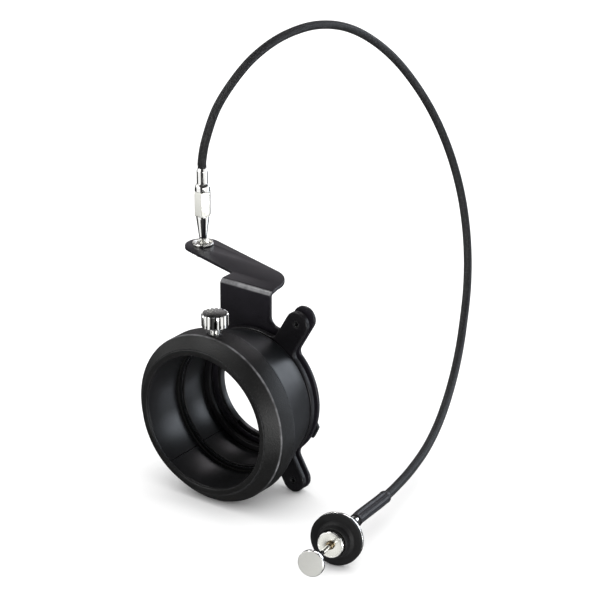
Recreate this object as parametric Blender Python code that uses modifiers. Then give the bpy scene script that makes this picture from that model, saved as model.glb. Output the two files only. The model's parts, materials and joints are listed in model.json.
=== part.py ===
"""Cable shutter release on an eyepiece ring bracket.

The ring adapter stands on its flared front ring and its two lower ears. A sheet bracket carries
an arm over the ring, and the arm holds the release's tip. The release's cable arches over behind
the ring to the plunger, which lies on its finger disc beside the ring.

Lengths are in millimetres here and turned into metres by MM. The ring's own frame has its axis
along Y, its front at -Y and its crest edge at y = 0. The object's frame has +Z up from the
surface that it stands on.
"""

import math

import bmesh
import bpy
from mathutils import Matrix, Vector

MM = 0.001
GAP = 0.3

# Driving dimensions of the ring adapter, all turned about the ring's axis
CREST_R = 36.0
LIP_R = 31.2
LIP_Y = -5.3
BORE_R = 28.7
BAND_END_Y = 8.4
BARREL_REAR_Y = 29.6
BARREL_REAR_R = 28.5
SLEEVE_OUT_R = 30.3
SPIGOT_OUT_R = 32.6
SPIGOT_Y = 3.0
REAR_BORE_R = 26.2
REAR_SLEEVE_OUT_R = 27.0
STEP_Y = 16.3
FLANGE_R = 28.9
FLANGE_HOLE_R = 23.7
FLANGE_FRONT_Y = 29.9
FLANGE_T = 2.5
PLATE_FRONT_Y = 34.2
SHEET_T = 1.5
PLATE_R = 29.2
PLATE_HOLE_R = 22.4
APERTURE_R = 20.75

# Ears: bearing clockwise from the top, seen from the front, and the hole's distance from the axis
UPPER_EAR = (30.0, 42.0)
PLATE_EAR_REACH = 1.6
SPLIT_TURN = math.radians(52.0)
LOWER_EARS = ((150.0, 39.4), (210.0, 39.4))
EAR_R = 5.2
EAR_FILLET = 3.2
EAR_PIN_R = 1.35
EAR_PIN_BORE_R = 0.85

# Bracket: upright tab, bend and arm
TAB_LEFT_X = -20.9
TAB_RIGHT_X = 4.9
ARM_TOP_Z = 45.0
BEND_R = 1.0
TAB_FILLET = 4.1
ARM_ANGLE = math.radians(17.0)
ARM_HALF_WIDTH = 7.8
ARM_CORNER_R = 15.0
ARM_RIGHT_X = 3.9
ARM_NOTCH_R = 1.6
TIP_X = -49.9
TIP_Y = 60.2

# Clamp screw
SCREW_Y = 3.9
KNOB_R = 5.45
KNOB_TOP_Z = 45.1
KNOB_BASE_Z = 39.6
FLUTES = 18
SHANK_R = 1.95

# Cable
SHEATH_R = 1.9
RELIEF_R = 2.7
RELIEF_LENGTH = 34.0
FERRULE_TOP_Z = 79.7

# Plunger, measured along its axis from the finger disc's front face, positive towards the button
DISC_R = 10.6
DISC_X = 75.2
DISC_Y = -14.2
PLUNGER_HEADING = math.radians(-76.2)
BARREL_R = 5.3
BARREL_END = 6.0
BUTTON_FACE = 26.3
BUTTON_T = 2.0
BUTTON_R = 5.2
NECK_END = -21.3

# The lower ears reach lower than the crest, so the ring leans forward until both touch
EAR_DROP = LOWER_EARS[0][1] * math.cos(math.radians(30.0)) + EAR_R
LEAN = math.atan2(EAR_DROP - CREST_R, FLANGE_FRONT_Y)
AXIS_HEIGHT = CREST_R * math.cos(LEAN)
# Moves the middle of the adapter's footprint to the origin
ORIGIN_SHIFT = Vector((10.832, -27.033, 0.0))

# Route of the cable, from the ferrule up over the back and down to the plunger's neck
CABLE_ROUTE = (
    (-49.6, 52.0, 133.6),
    (-48.8, 57.3, 146.7),
    (-46.9, 66.9, 158.7),
    (-45.3, 78.9, 167.6),
    (-43.6, 95.5, 173.9),
    (-41.5, 115.6, 176.3),
    (-39.2, 136.3, 173.2),
    (-36.5, 156.2, 164.6),
    (-32.8, 174.4, 151.4),
    (-26.5, 189.5, 132.8),
    (-19.3, 197.8, 113.2),
    (-11.5, 199.8, 93.3),
    (-3.7, 196.2, 73.7),
    (4.4, 186.8, 55.3),
    (13.0, 171.7, 38.6),
    (20.4, 156.7, 27.5),
    (28.2, 139.0, 19.0),
    (36.8, 118.1, 13.0),
    (44.9, 96.1, 9.5),
    (52.5, 73.0, 8.4),
    (58.8, 52.3, 8.8),
    (63.6, 34.6, 9.6),
)

MATERIALS = {
    "black_aluminium": ((0.030, 0.030, 0.032), 0.42, 0.0),
    "black_enamel": ((0.030, 0.030, 0.032), 0.42, 0.0),
    "black_anodised": ((0.045, 0.046, 0.050), 0.38, 0.6),
    "black_plastic": ((0.022, 0.022, 0.024), 0.50, 0.0),
    "black_rubber": ((0.015, 0.015, 0.016), 0.85, 0.0),
    "chrome": ((0.80, 0.80, 0.79), 0.12, 1.0),
    "satin_steel": ((0.66, 0.66, 0.63), 0.34, 1.0),
    "spring_steel": ((0.50, 0.50, 0.50), 0.30, 1.0),
    "brass": ((0.72, 0.53, 0.25), 0.28, 1.0),
    "nylon": ((0.75, 0.74, 0.70), 0.55, 0.0),
    "woven_sheath": ((0.060, 0.060, 0.065), 0.80, 0.0),
}


def clear_scene():
    for obj in list(bpy.data.objects):
        bpy.data.objects.remove(obj)


def make_collection(name):
    collection = bpy.data.collections.new(name)
    bpy.context.scene.collection.children.link(collection)
    return collection


def make_material(name, color, roughness, metallic):
    material = bpy.data.materials.new(name)
    material.use_nodes = True
    shader = material.node_tree.nodes["Principled BSDF"]
    shader.inputs["Base Color"].default_value = (*color, 1.0)
    shader.inputs["Roughness"].default_value = roughness
    shader.inputs["Metallic"].default_value = metallic


def make_frame(name, location, rotation):
    frame = bpy.data.objects.new(name, None)
    frame.location = location
    frame.rotation_euler = rotation
    frame.empty_display_size = 0.01
    PARTS.objects.link(frame)
    return frame


def make_object(name, mesh, frame, material, at=(0.0, 0.0, 0.0), turn=(0.0, 0.0, 0.0)):
    """Adds a mesh as a named part, placed in millimetres in its frame."""
    obj = bpy.data.objects.new(name, mesh)
    obj.parent = frame
    obj.location = Vector(at) * MM
    obj.rotation_euler = turn
    mesh.materials.append(bpy.data.materials[material])
    PARTS.objects.link(obj)
    return obj


def shade(mesh, angle=35.0):
    mesh.shade_smooth()
    mesh.set_sharp_from_angle(angle=math.radians(angle))


def turned(name, profile, frame, material, at=(0.0, 0.0, 0.0), turn=(0.0, 0.0, 0.0), steps=48):
    """A turned part: (radius, height) points down the outside and back up the inside."""
    closed = profile[0][0] > 0.0
    count = len(profile)
    verts = [(r * MM, 0.0, z * MM) for r, z in profile]
    edges = [(i, i + 1) for i in range(count - 1)]
    if closed:
        edges.append((count - 1, 0))
    mesh = bpy.data.meshes.new(name)
    mesh.from_pydata(verts, edges, [])
    obj = make_object(name, mesh, frame, material, at, turn)
    screw = obj.modifiers.new("Turn", "SCREW")
    screw.axis = "Z"
    screw.steps = steps
    screw.render_steps = steps
    screw.use_merge_vertices = True
    screw.merge_threshold = 0.00001
    screw.use_smooth_shade = True
    return obj


def on_axis(y):
    """Place and turn for a part whose height runs forward along the ring's axis from y."""
    return {"at": (0.0, y, 0.0), "turn": (math.pi / 2, 0.0, 0.0)}


def ring_part(name, profile, material, steps=64):
    """A part turned about the ring's axis, from (radius, y) points, front to back outside."""
    return turned(name, [(r, -y) for r, y in profile], RING, material, steps=steps, **on_axis(0.0))


def tube_profile(outer, inner, top, bottom, chamfer=0.0):
    """Outline of a plain bush, with a chamfer on its outer edges."""
    return (
        (outer - chamfer, top),
        (outer, top - chamfer),
        (outer, bottom + chamfer),
        (outer - chamfer, bottom),
        (inner, bottom),
        (inner, top),
    ) if chamfer else ((outer, top), (outer, bottom), (inner, bottom), (inner, top))


def make_cutter(name, mesh, frame, at=(0.0, 0.0, 0.0), turn=(0.0, 0.0, 0.0)):
    cutter = bpy.data.objects.new(name, mesh)
    cutter.parent = frame
    cutter.location = Vector(at) * MM
    cutter.rotation_euler = turn
    cutter.hide_render = True
    cutter.display_type = "WIRE"
    CUTTERS.objects.link(cutter)
    return cutter


def cylinder_mesh(name, radius, length, segments=24):
    mesh = bpy.data.meshes.new(name)
    bm = bmesh.new()
    bmesh.ops.create_cone(
        bm,
        cap_ends=True,
        segments=segments,
        radius1=radius * MM,
        radius2=radius * MM,
        depth=length * MM,
    )
    bm.to_mesh(mesh)
    bm.free()
    return mesh


def box_mesh(name, size):
    mesh = bpy.data.meshes.new(name)
    bm = bmesh.new()
    bmesh.ops.create_cube(bm, size=1.0)
    bmesh.ops.scale(bm, vec=Vector(size) * MM, verts=bm.verts)
    bm.to_mesh(mesh)
    bm.free()
    return mesh


def subtract(obj, cutter):
    boolean = obj.modifiers.new("Cut " + cutter.name, "BOOLEAN")
    boolean.operation = "DIFFERENCE"
    boolean.object = cutter


def arc(center, radius, start, end, steps):
    """Points of an arc, with angles in degrees counter-clockwise from +X."""
    points = []
    for i in range(steps + 1):
        angle = math.radians(start + (end - start) * i / steps)
        points.append((center[0] + radius * math.cos(angle), center[1] + radius * math.sin(angle)))
    return points


def circle(center, radius, steps):
    return arc(center, radius, 0.0, 360.0, steps)[:-1]


def outline_mesh(name, loops, thickness):
    """A flat plate in XY with an outer outline and holes, as one welded closed mesh."""
    curve = bpy.data.curves.new(name, "CURVE")
    curve.dimensions = "2D"
    curve.fill_mode = "BOTH"
    curve.extrude = thickness * MM / 2
    for loop in loops:
        spline = curve.splines.new("POLY")
        spline.points.add(len(loop) - 1)
        for point, (x, y) in zip(spline.points, loop):
            point.co = (x * MM, y * MM, 0.0, 1.0)
        spline.use_cyclic_u = True
    guide = bpy.data.objects.new(name, curve)
    PARTS.objects.link(guide)
    graph = bpy.context.evaluated_depsgraph_get()
    mesh = bpy.data.meshes.new_from_object(guide.evaluated_get(graph))
    bpy.data.objects.remove(guide)
    bm = bmesh.new()
    bm.from_mesh(mesh)
    bmesh.ops.remove_doubles(bm, verts=bm.verts, dist=0.000005)
    bmesh.ops.recalc_face_normals(bm, faces=bm.faces)
    bm.to_mesh(mesh)
    bm.free()
    mesh.name = name
    mesh.materials.clear()
    return mesh


def ear_points(bearing, hole_r, disc_r, fillet_start=True, fillet_end=True):
    """Outline round one ear, counter-clockwise, and the bearings where it leaves the disc."""
    along = math.sqrt((disc_r + EAR_FILLET) ** 2 - (EAR_R + EAR_FILLET) ** 2)
    foot = math.degrees(math.atan2(EAR_R + EAR_FILLET, along))
    axis = 90.0 - bearing
    turn = Matrix.Rotation(math.radians(axis), 2)
    points = []
    if fillet_start:
        points += arc((along, -EAR_R - EAR_FILLET), EAR_FILLET, 180.0 - foot, 90.0, 4)
    points += arc((hole_r, 0.0), EAR_R, -90.0, 90.0, 12)
    if fillet_end:
        points += arc((along, EAR_R + EAR_FILLET), EAR_FILLET, 270.0, 180.0 + foot, 4)
    placed = [tuple(turn @ Vector(point)) for point in points]
    return placed, axis - foot, axis + foot


def ear_center(ear):
    bearing, hole_r = ear
    angle = math.radians(90.0 - bearing)
    return (hole_r * math.cos(angle), hole_r * math.sin(angle))


def flange_outline():
    """The moulded layer: a disc with its three ears, counter-clockwise from the right."""
    upper, upper_in, upper_out = ear_points(*UPPER_EAR, FLANGE_R)
    right, right_in, right_out = ear_points(*LOWER_EARS[0], FLANGE_R)
    left, left_in, left_out = ear_points(*LOWER_EARS[1], FLANGE_R)
    points = upper[:]
    points += arc((0.0, 0.0), FLANGE_R, upper_out, left_in + 360.0, 24)[1:-1]
    points += left
    points += arc((0.0, 0.0), FLANGE_R, left_out, right_in, 6)[1:-1]
    points += right
    points += arc((0.0, 0.0), FLANGE_R, right_out, upper_in, 12)[1:-1]
    return points


def tab_and_arm(bend_start, bend_length):
    """Flat pattern of the tab, bend and arm, from the fillet beside the ear round to the left."""
    offset = bend_start + bend_length - (PLATE_FRONT_Y + SHEET_T + BEND_R)
    normal = Vector((math.sin(ARM_ANGLE), math.cos(ARM_ANGLE)))
    tip = Vector((TIP_X, TIP_Y))
    heading = math.degrees(ARM_ANGLE)

    def y_at(x, distance):
        return tip.y + (distance - (x - tip.x) * normal.x) / normal.y

    corner = (
        ARM_RIGHT_X - ARM_CORNER_R,
        y_at(ARM_RIGHT_X - ARM_CORNER_R, ARM_HALF_WIDTH - ARM_CORNER_R),
    )
    notch = (
        TAB_LEFT_X - ARM_NOTCH_R,
        y_at(TAB_LEFT_X - ARM_NOTCH_R, -ARM_HALF_WIDTH - ARM_NOTCH_R),
    )
    arm = arc(corner, ARM_CORNER_R, 0.0, 90.0 - heading, 9)
    arm += arc(tip, ARM_HALF_WIDTH, 90.0 - heading, 270.0 - heading, 16)
    arm += arc(notch, ARM_NOTCH_R, 90.0 - heading, 0.0, 4)
    return [(x, y + offset) for x, y in arm], (TIP_X, TIP_Y + offset)


def bracket_outline(bend_start, bend_length):
    """The sheet's flat pattern: a disc with ears and the tab, counter-clockwise."""
    reach = UPPER_EAR[1] + PLATE_EAR_REACH
    upper, upper_in, _ = ear_points(UPPER_EAR[0], reach, PLATE_R, fillet_end=False)
    right, right_in, right_out = ear_points(*LOWER_EARS[0], PLATE_R)
    left, left_in, left_out = ear_points(*LOWER_EARS[1], PLATE_R)
    arm, tip = tab_and_arm(bend_start, bend_length)
    fillet_x = TAB_RIGHT_X + TAB_FILLET
    bearing = math.radians(UPPER_EAR[0])
    fillet_z = (fillet_x * math.cos(bearing) + EAR_R + TAB_FILLET) / math.sin(bearing)
    side_x = TAB_LEFT_X - EAR_FILLET
    side_z = math.sqrt((PLATE_R + EAR_FILLET) ** 2 - side_x**2)
    side_angle = math.degrees(math.atan2(side_z, side_x))
    points = upper[:]
    points += arc((fillet_x, fillet_z), TAB_FILLET, -UPPER_EAR[0], -180.0, 8)
    points += [(TAB_RIGHT_X, bend_start + bend_length)]
    points += arm
    points += arc((side_x, side_z), EAR_FILLET, 0.0, side_angle - 180.0, 4)
    points += arc((0.0, 0.0), PLATE_R, side_angle, left_in + 360.0, 16)[1:-1]
    points += left
    points += arc((0.0, 0.0), PLATE_R, left_out, right_in, 6)[1:-1]
    points += right
    points += arc((0.0, 0.0), PLATE_R, right_out, upper_in, 12)[1:-1]
    return points, tip


def bend_sheet(mesh, bend_start, bend_length, steps=5):
    """Cuts the sheet across the bend and folds what is above it back through a right angle."""
    bm = bmesh.new()
    bm.from_mesh(mesh)
    for i in range(steps + 1):
        height = (bend_start + bend_length * i / steps) * MM
        geometry = bm.verts[:] + bm.edges[:] + bm.faces[:]
        bmesh.ops.bisect_plane(
            bm, geom=geometry, dist=1e-7, plane_co=(0.0, 0.0, height), plane_no=(0.0, 0.0, 1.0)
        )
    rear = (PLATE_FRONT_Y + SHEET_T) * MM
    axis_y = rear + BEND_R * MM
    start = bend_start * MM
    length = bend_length * MM
    for vert in bm.verts:
        past = vert.co.z - start
        if past <= 1e-7:
            continue
        radius = BEND_R * MM + rear - vert.co.y
        angle = min(past / length, 1.0) * math.pi / 2
        straight = max(past - length, 0.0)
        vert.co.y = axis_y - radius * math.cos(angle) + straight
        vert.co.z = start + radius * math.sin(angle)
    bm.to_mesh(mesh)
    bm.free()


def make_housing():
    """Flared front ring, tapered barrel, and the split sleeves and seal inside them."""
    front = ring_part(
        "front_ring",
        (
            (LIP_R - 0.3, LIP_Y),
            (LIP_R, LIP_Y + 0.3),
            (CREST_R - 0.5, -0.45),
            (CREST_R - 0.12, -0.1),
            (CREST_R, 0.3),
            (CREST_R, BAND_END_Y),
            (SPIGOT_OUT_R + GAP, BAND_END_Y),
            (SPIGOT_OUT_R + GAP, SPIGOT_Y - GAP),
            (SLEEVE_OUT_R + GAP, SPIGOT_Y - GAP),
            (SLEEVE_OUT_R + GAP, LIP_Y + 1.3),
            (BORE_R, LIP_Y + 1.3),
            (BORE_R, LIP_Y + 0.4),
            (BORE_R + 0.4, LIP_Y),
        ),
        "black_aluminium",
    )
    barrel = ring_part(
        "barrel",
        (
            (SPIGOT_OUT_R, SPIGOT_Y),
            (SPIGOT_OUT_R, BAND_END_Y + GAP),
            (CREST_R - 0.2, BAND_END_Y + GAP),
            (CREST_R - 0.25, BAND_END_Y + 1.0),
            (BARREL_REAR_R + 3.6, 19.5),
            (BARREL_REAR_R, BARREL_REAR_Y - 0.3),
            (BARREL_REAR_R - 0.3, BARREL_REAR_Y),
            (REAR_SLEEVE_OUT_R + GAP, BARREL_REAR_Y),
            (REAR_SLEEVE_OUT_R + GAP, STEP_Y),
            (SLEEVE_OUT_R + GAP, STEP_Y),
            (SLEEVE_OUT_R + GAP, SPIGOT_Y),
        ),
        "black_aluminium",
    )
    sleeve = ring_part(
        "front_sleeve",
        (
            (SLEEVE_OUT_R, LIP_Y + 1.3 + GAP),
            (SLEEVE_OUT_R, 14.6),
            (BORE_R + 0.1, 14.6),
            (BORE_R + 0.1, LIP_Y + 1.3 + GAP),
        ),
        "black_anodised",
    )
    ring_part(
        "light_seal",
        (
            (SLEEVE_OUT_R, 14.9),
            (SLEEVE_OUT_R, STEP_Y - GAP),
            (REAR_SLEEVE_OUT_R + 1.0, STEP_Y - GAP),
            (REAR_SLEEVE_OUT_R + 1.0, 14.9),
        ),
        "black_rubber",
        48,
    )
    rear_sleeve = ring_part(
        "rear_sleeve",
        (
            (REAR_SLEEVE_OUT_R, STEP_Y),
            (REAR_SLEEVE_OUT_R, BARREL_REAR_Y - 0.2),
            (REAR_BORE_R, BARREL_REAR_Y - 0.2),
            (REAR_BORE_R, STEP_Y),
        ),
        "black_anodised",
    )
    split = make_cutter(
        "sleeve_split",
        box_mesh("sleeve_split", (6.0, 60.0, 0.5)),
        RING,
        at=(-28.2 * math.cos(SPLIT_TURN), 12.0, -28.2 * math.sin(SPLIT_TURN)),
        turn=(0.0, -SPLIT_TURN, 0.0),
    )
    subtract(sleeve, split)
    subtract(rear_sleeve, split)
    bush_hole = make_cutter(
        "bush_hole", cylinder_mesh("bush_hole", 3.0 + GAP, 16.0), RING, at=(0.0, SCREW_Y, 37.0)
    )
    pad_hole = make_cutter(
        "pad_hole", cylinder_mesh("pad_hole", 2.2, 12.0), RING, at=(0.0, SCREW_Y, 29.0)
    )
    subtract(front, bush_hole)
    subtract(barrel, bush_hole)
    subtract(sleeve, pad_hole)


def make_clamp_screw():
    """Threaded bush, knurled screw and the soft pad that it presses on an eyepiece."""
    place = {"at": (0.0, SCREW_Y, 0.0)}
    turned("screw_bush", tube_profile(3.0, 2.25, 36.3, 31.1), RING, "black_anodised", steps=24, **place)
    shank = (
        (0.0, KNOB_BASE_Z - GAP),
        (SHANK_R, KNOB_BASE_Z - GAP),
        (SHANK_R, 32.0),
        (SHANK_R - 0.4, 31.5),
        (0.0, 31.5),
    )
    turned("clamp_shank", shank, RING, "chrome", steps=24, **place)
    pad = ((0.0, 31.2), (1.9, 31.2), (1.9, 29.4), (1.5, 28.95), (0.0, 28.95))
    turned("pressure_pad", pad, RING, "nylon", steps=24, **place)
    outline = []
    for i in range(FLUTES):
        middle = 360.0 * i / FLUTES
        outline += arc((0.0, 0.0), KNOB_R, middle - 5.0, middle + 5.0, 2)
        outline += arc((0.0, 0.0), KNOB_R - 0.45, middle + 8.0, middle + 12.0, 1)
    height = KNOB_TOP_Z - KNOB_BASE_Z
    mesh = outline_mesh("clamp_knob", [outline], height)
    middle_z = KNOB_BASE_Z + height / 2
    make_object("clamp_knob", mesh, RING, "chrome", at=(0.0, SCREW_Y, middle_z))


def make_flange():
    """Moulded ear layer, its hollow pins and the spacers that hold the sheet off it."""
    ears = (UPPER_EAR, *LOWER_EARS)
    holes = [circle(ear_center(ear), EAR_PIN_R + GAP, 16) for ear in ears]
    loops = [flange_outline(), circle((0.0, 0.0), FLANGE_HOLE_R, 48), *holes]
    mesh = outline_mesh("ear_flange", loops, FLANGE_T)
    make_object("ear_flange", mesh, RING, "black_aluminium", **on_axis(FLANGE_FRONT_Y + FLANGE_T / 2))
    rear = PLATE_FRONT_Y + SHEET_T
    for ear, side in zip(ears, ("upper", "right", "left")):
        x, z = ear_center(ear)
        pin = tube_profile(EAR_PIN_R, EAR_PIN_BORE_R, -FLANGE_FRONT_Y, -rear)
        place = {"at": (x, 0.0, z), "turn": (math.pi / 2, 0.0, 0.0)}
        turned("ear_pin_" + side, pin, RING, "black_anodised", steps=16, **place)
        front = FLANGE_FRONT_Y + FLANGE_T + GAP
        spacer = tube_profile(3.2, EAR_PIN_R + GAP, -front, GAP - PLATE_FRONT_Y)
        turned("ear_spacer_" + side, spacer, RING, "black_plastic", steps=20, **place)


def make_bracket():
    """Sheet bracket: disc with ears, upright tab and the arm folded back from it."""
    bend_start = ARM_TOP_Z - SHEET_T - BEND_R
    bend_length = (BEND_R + SHEET_T / 2) * math.pi / 2
    outline, tip = bracket_outline(bend_start, bend_length)
    ears = (UPPER_EAR, *LOWER_EARS)
    holes = [circle(ear_center(ear), EAR_PIN_R + GAP, 16) for ear in ears]
    loops = [outline, circle((0.0, 0.0), PLATE_HOLE_R, 48), circle(tip, 3.3, 20), *holes]
    mesh = outline_mesh("bracket_plate", loops, SHEET_T)
    middle_y = (PLATE_FRONT_Y + SHEET_T / 2) * MM
    mesh.transform(Matrix.Translation((0.0, middle_y, 0.0)) @ Matrix.Rotation(math.pi / 2, 4, "X"))
    bend_sheet(mesh, bend_start, bend_length)
    make_object("bracket_plate", mesh, RING, "black_enamel")


def make_bayonet():
    """Lens mount behind the bracket: aperture ring with lugs, lock ring and its retainer."""
    mount = ring_part(
        "bayonet_ring",
        (
            (21.9, 33.9),
            (21.9, 36.0),
            (24.0, 36.0),
            (24.0, 38.5),
            (22.6, 38.5),
            (22.6, 36.9),
            (APERTURE_R, 36.9),
            (APERTURE_R, 33.9),
        ),
        "black_anodised",
    )
    for bearing in (75.0, 195.0, 315.0):
        angle = math.radians(bearing)
        slot = make_cutter(
            "lug_slot_%d" % bearing,
            box_mesh("lug_slot", (14.0, 3.0, 6.0)),
            RING,
            at=(21.5 * math.sin(angle), 33.6, 21.5 * math.cos(angle)),
            turn=(0.0, angle, 0.0),
        )
        subtract(mount, slot)
    lock_center = 115.0
    tab = [
        *arc((0.0, 0.0), 27.6, 90.0 - lock_center + 9.0, 90.0 - lock_center + 351.0, 48),
        *arc((0.0, 0.0), 29.8, 90.0 - lock_center - 6.5, 90.0 - lock_center + 5.0, 4),
    ]
    mesh = outline_mesh("lock_ring", [tab, circle((0.0, 0.0), 24.4, 48)], 1.4)
    make_object("lock_ring", mesh, RING, "black_enamel", **on_axis(36.8))
    ring_part(
        "retaining_ring",
        ((26.4, 37.8), (26.4, 38.5), (24.0 + GAP, 38.5), (24.0 + GAP, 37.8)),
        "black_anodised",
        48,
    )


def make_tip():
    """Bush in the arm and the release's screwed tip, on the arm's upright axis."""
    place = {"at": (TIP_X, TIP_Y, 0.0), "steps": 32}
    top = ARM_TOP_Z
    bushing = (
        (4.3, top + 1.7),
        (4.6, top + 1.3),
        (4.6, top + GAP),
        (3.0, top + GAP),
        (3.0, top - 5.0),
        (1.75, top - 5.0),
        (1.75, top + 0.7),
        (3.5, top + 1.5),
        (3.8, top + 1.7),
    )
    turned("arm_bushing", bushing, RING, "chrome", **place)
    nut_top = top - SHEET_T - GAP
    nut = tube_profile(5.4, 3.85, nut_top, nut_top - 1.8, 0.2)
    turned("bushing_nut", nut, RING, "chrome", at=(TIP_X, TIP_Y, 0.0), steps=6)
    nose = (
        (2.85, 58.1),
        (2.75, 57.4),
        (1.42, 46.6),
        (1.42, 41.0),
        (1.1, 40.4),
        (0.85, 40.4),
        (0.85, 58.1),
    )
    turned("tip_nose", nose, RING, "chrome", **place)
    collar = tube_profile(3.65, 1.0, 69.4, 58.4, 0.35)
    turned("tip_collar", collar, RING, "satin_steel", at=(TIP_X, TIP_Y, 0.0), steps=6)
    shoulder = (
        (2.6, 72.6),
        (2.9, 72.3),
        (3.3, 70.9),
        (3.3, 69.7),
        (1.0, 69.7),
        (1.0, 72.6),
    )
    turned("tip_shoulder", shoulder, RING, "chrome", **place)
    ferrule = (
        (1.9, FERRULE_TOP_Z),
        (2.4, FERRULE_TOP_Z - 1.4),
        (2.4, 72.9),
        (1.0, 72.9),
        (1.0, FERRULE_TOP_Z),
    )
    turned("tip_ferrule", ferrule, RING, "chrome", **place)
    pin = ((0.0, 62.0), (0.55, 62.0), (0.55, 41.2), (0.35, 40.9), (0.0, 40.9))
    turned("tip_pin", pin, RING, "spring_steel", at=(TIP_X, TIP_Y, 0.0), steps=16)


def catmull_rom(points, spacing):
    """Points a spacing apart along a smooth curve through the route's points."""
    knots = [Vector(point) for point in points]
    ends = [knots[0] * 2 - knots[1], *knots, knots[-1] * 2 - knots[-2]]
    fine = []
    for i in range(len(knots) - 1):
        a, b, c, d = ends[i : i + 4]
        for k in range(40):
            t = k / 40
            fine.append(
                0.5
                * (
                    2 * b
                    + (c - a) * t
                    + (2 * a - 5 * b + 4 * c - d) * t * t
                    + (3 * b - a - 3 * c + d) * t**3
                )
            )
    fine.append(knots[-1])
    lengths = [0.0]
    for a, b in zip(fine, fine[1:]):
        lengths.append(lengths[-1] + (b - a).length)
    count = max(2, round(lengths[-1] / spacing))
    result = []
    index = 0
    for i in range(count + 1):
        target = lengths[-1] * i / count
        while index < len(fine) - 2 and lengths[index + 1] < target:
            index += 1
        span = lengths[index + 1] - lengths[index]
        result.append(fine[index].lerp(fine[index + 1], (target - lengths[index]) / span))
    return result


def trimmed(points, start, end):
    """The part of a dense line between two distances along it."""
    kept = []
    travelled = 0.0
    for a, b in zip(points, points[1:]):
        step = (b - a).length
        if travelled < start <= travelled + step:
            kept.append(a.lerp(b, (start - travelled) / step))
        if start <= travelled + step <= end:
            kept.append(b)
        if travelled < end < travelled + step:
            kept.append(a.lerp(b, (end - travelled) / step))
        travelled += step
    return kept


def tube(name, points, radius, material, resolution=2):
    """A cord as a poly curve with a round section and filled ends."""
    curve = bpy.data.curves.new(name, "CURVE")
    curve.dimensions = "3D"
    curve.bevel_depth = radius * MM
    curve.bevel_resolution = resolution
    curve.use_fill_caps = True
    spline = curve.splines.new("POLY")
    spline.points.add(len(points) - 1)
    for point, co in zip(spline.points, points):
        point.co = (*(Vector(co) * MM), 1.0)
    obj = bpy.data.objects.new(name, curve)
    curve.materials.append(bpy.data.materials[material])
    PARTS.objects.link(obj)
    return obj


def ring_to_object(point):
    """A point of the ring's frame in the object's frame, before the origin shift."""
    return Matrix.Rotation(LEAN, 3, "X") @ Vector(point) + Vector((0.0, 0.0, AXIS_HEIGHT))


def make_cable():
    """Sheath from the ferrule to the strain relief, which meets the plunger's neck."""
    top = ring_to_object((TIP_X, TIP_Y, FERRULE_TOP_Z + GAP))
    up = (ring_to_object((TIP_X, TIP_Y, FERRULE_TOP_Z + 6.0)) - top).normalized()
    axis = plunger_axis()
    disc = Vector((DISC_X, DISC_Y, DISC_R))
    end = disc + axis * (NECK_END - GAP)
    route = [top, top + up * 3.0]
    route += [Vector(point) for point in CABLE_ROUTE]
    route += [end - axis * 6.0, end]
    dense = [p + ORIGIN_SHIFT for p in catmull_rom(route, 0.5)]
    total = sum((b - a).length for a, b in zip(dense, dense[1:]))
    relief_start = total - RELIEF_LENGTH
    sheath = resample(trimmed(dense, 0.0, relief_start - GAP), 7.5)
    tube("cable_sheath", sheath, SHEATH_R, "woven_sheath")
    relief = resample(trimmed(dense, relief_start, total), 4.0)
    tube("strain_relief", relief, RELIEF_R, "black_rubber", 3)


def resample(points, spacing):
    total = sum((b - a).length for a, b in zip(points, points[1:]))
    count = max(2, round(total / spacing))
    result = [points[0]]
    for i in range(1, count):
        result.append(trimmed(points, total * i / count, total)[0])
    result.append(points[-1])
    return result


def plunger_axis():
    return Vector((math.cos(PLUNGER_HEADING), math.sin(PLUNGER_HEADING), 0.0))


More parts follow.
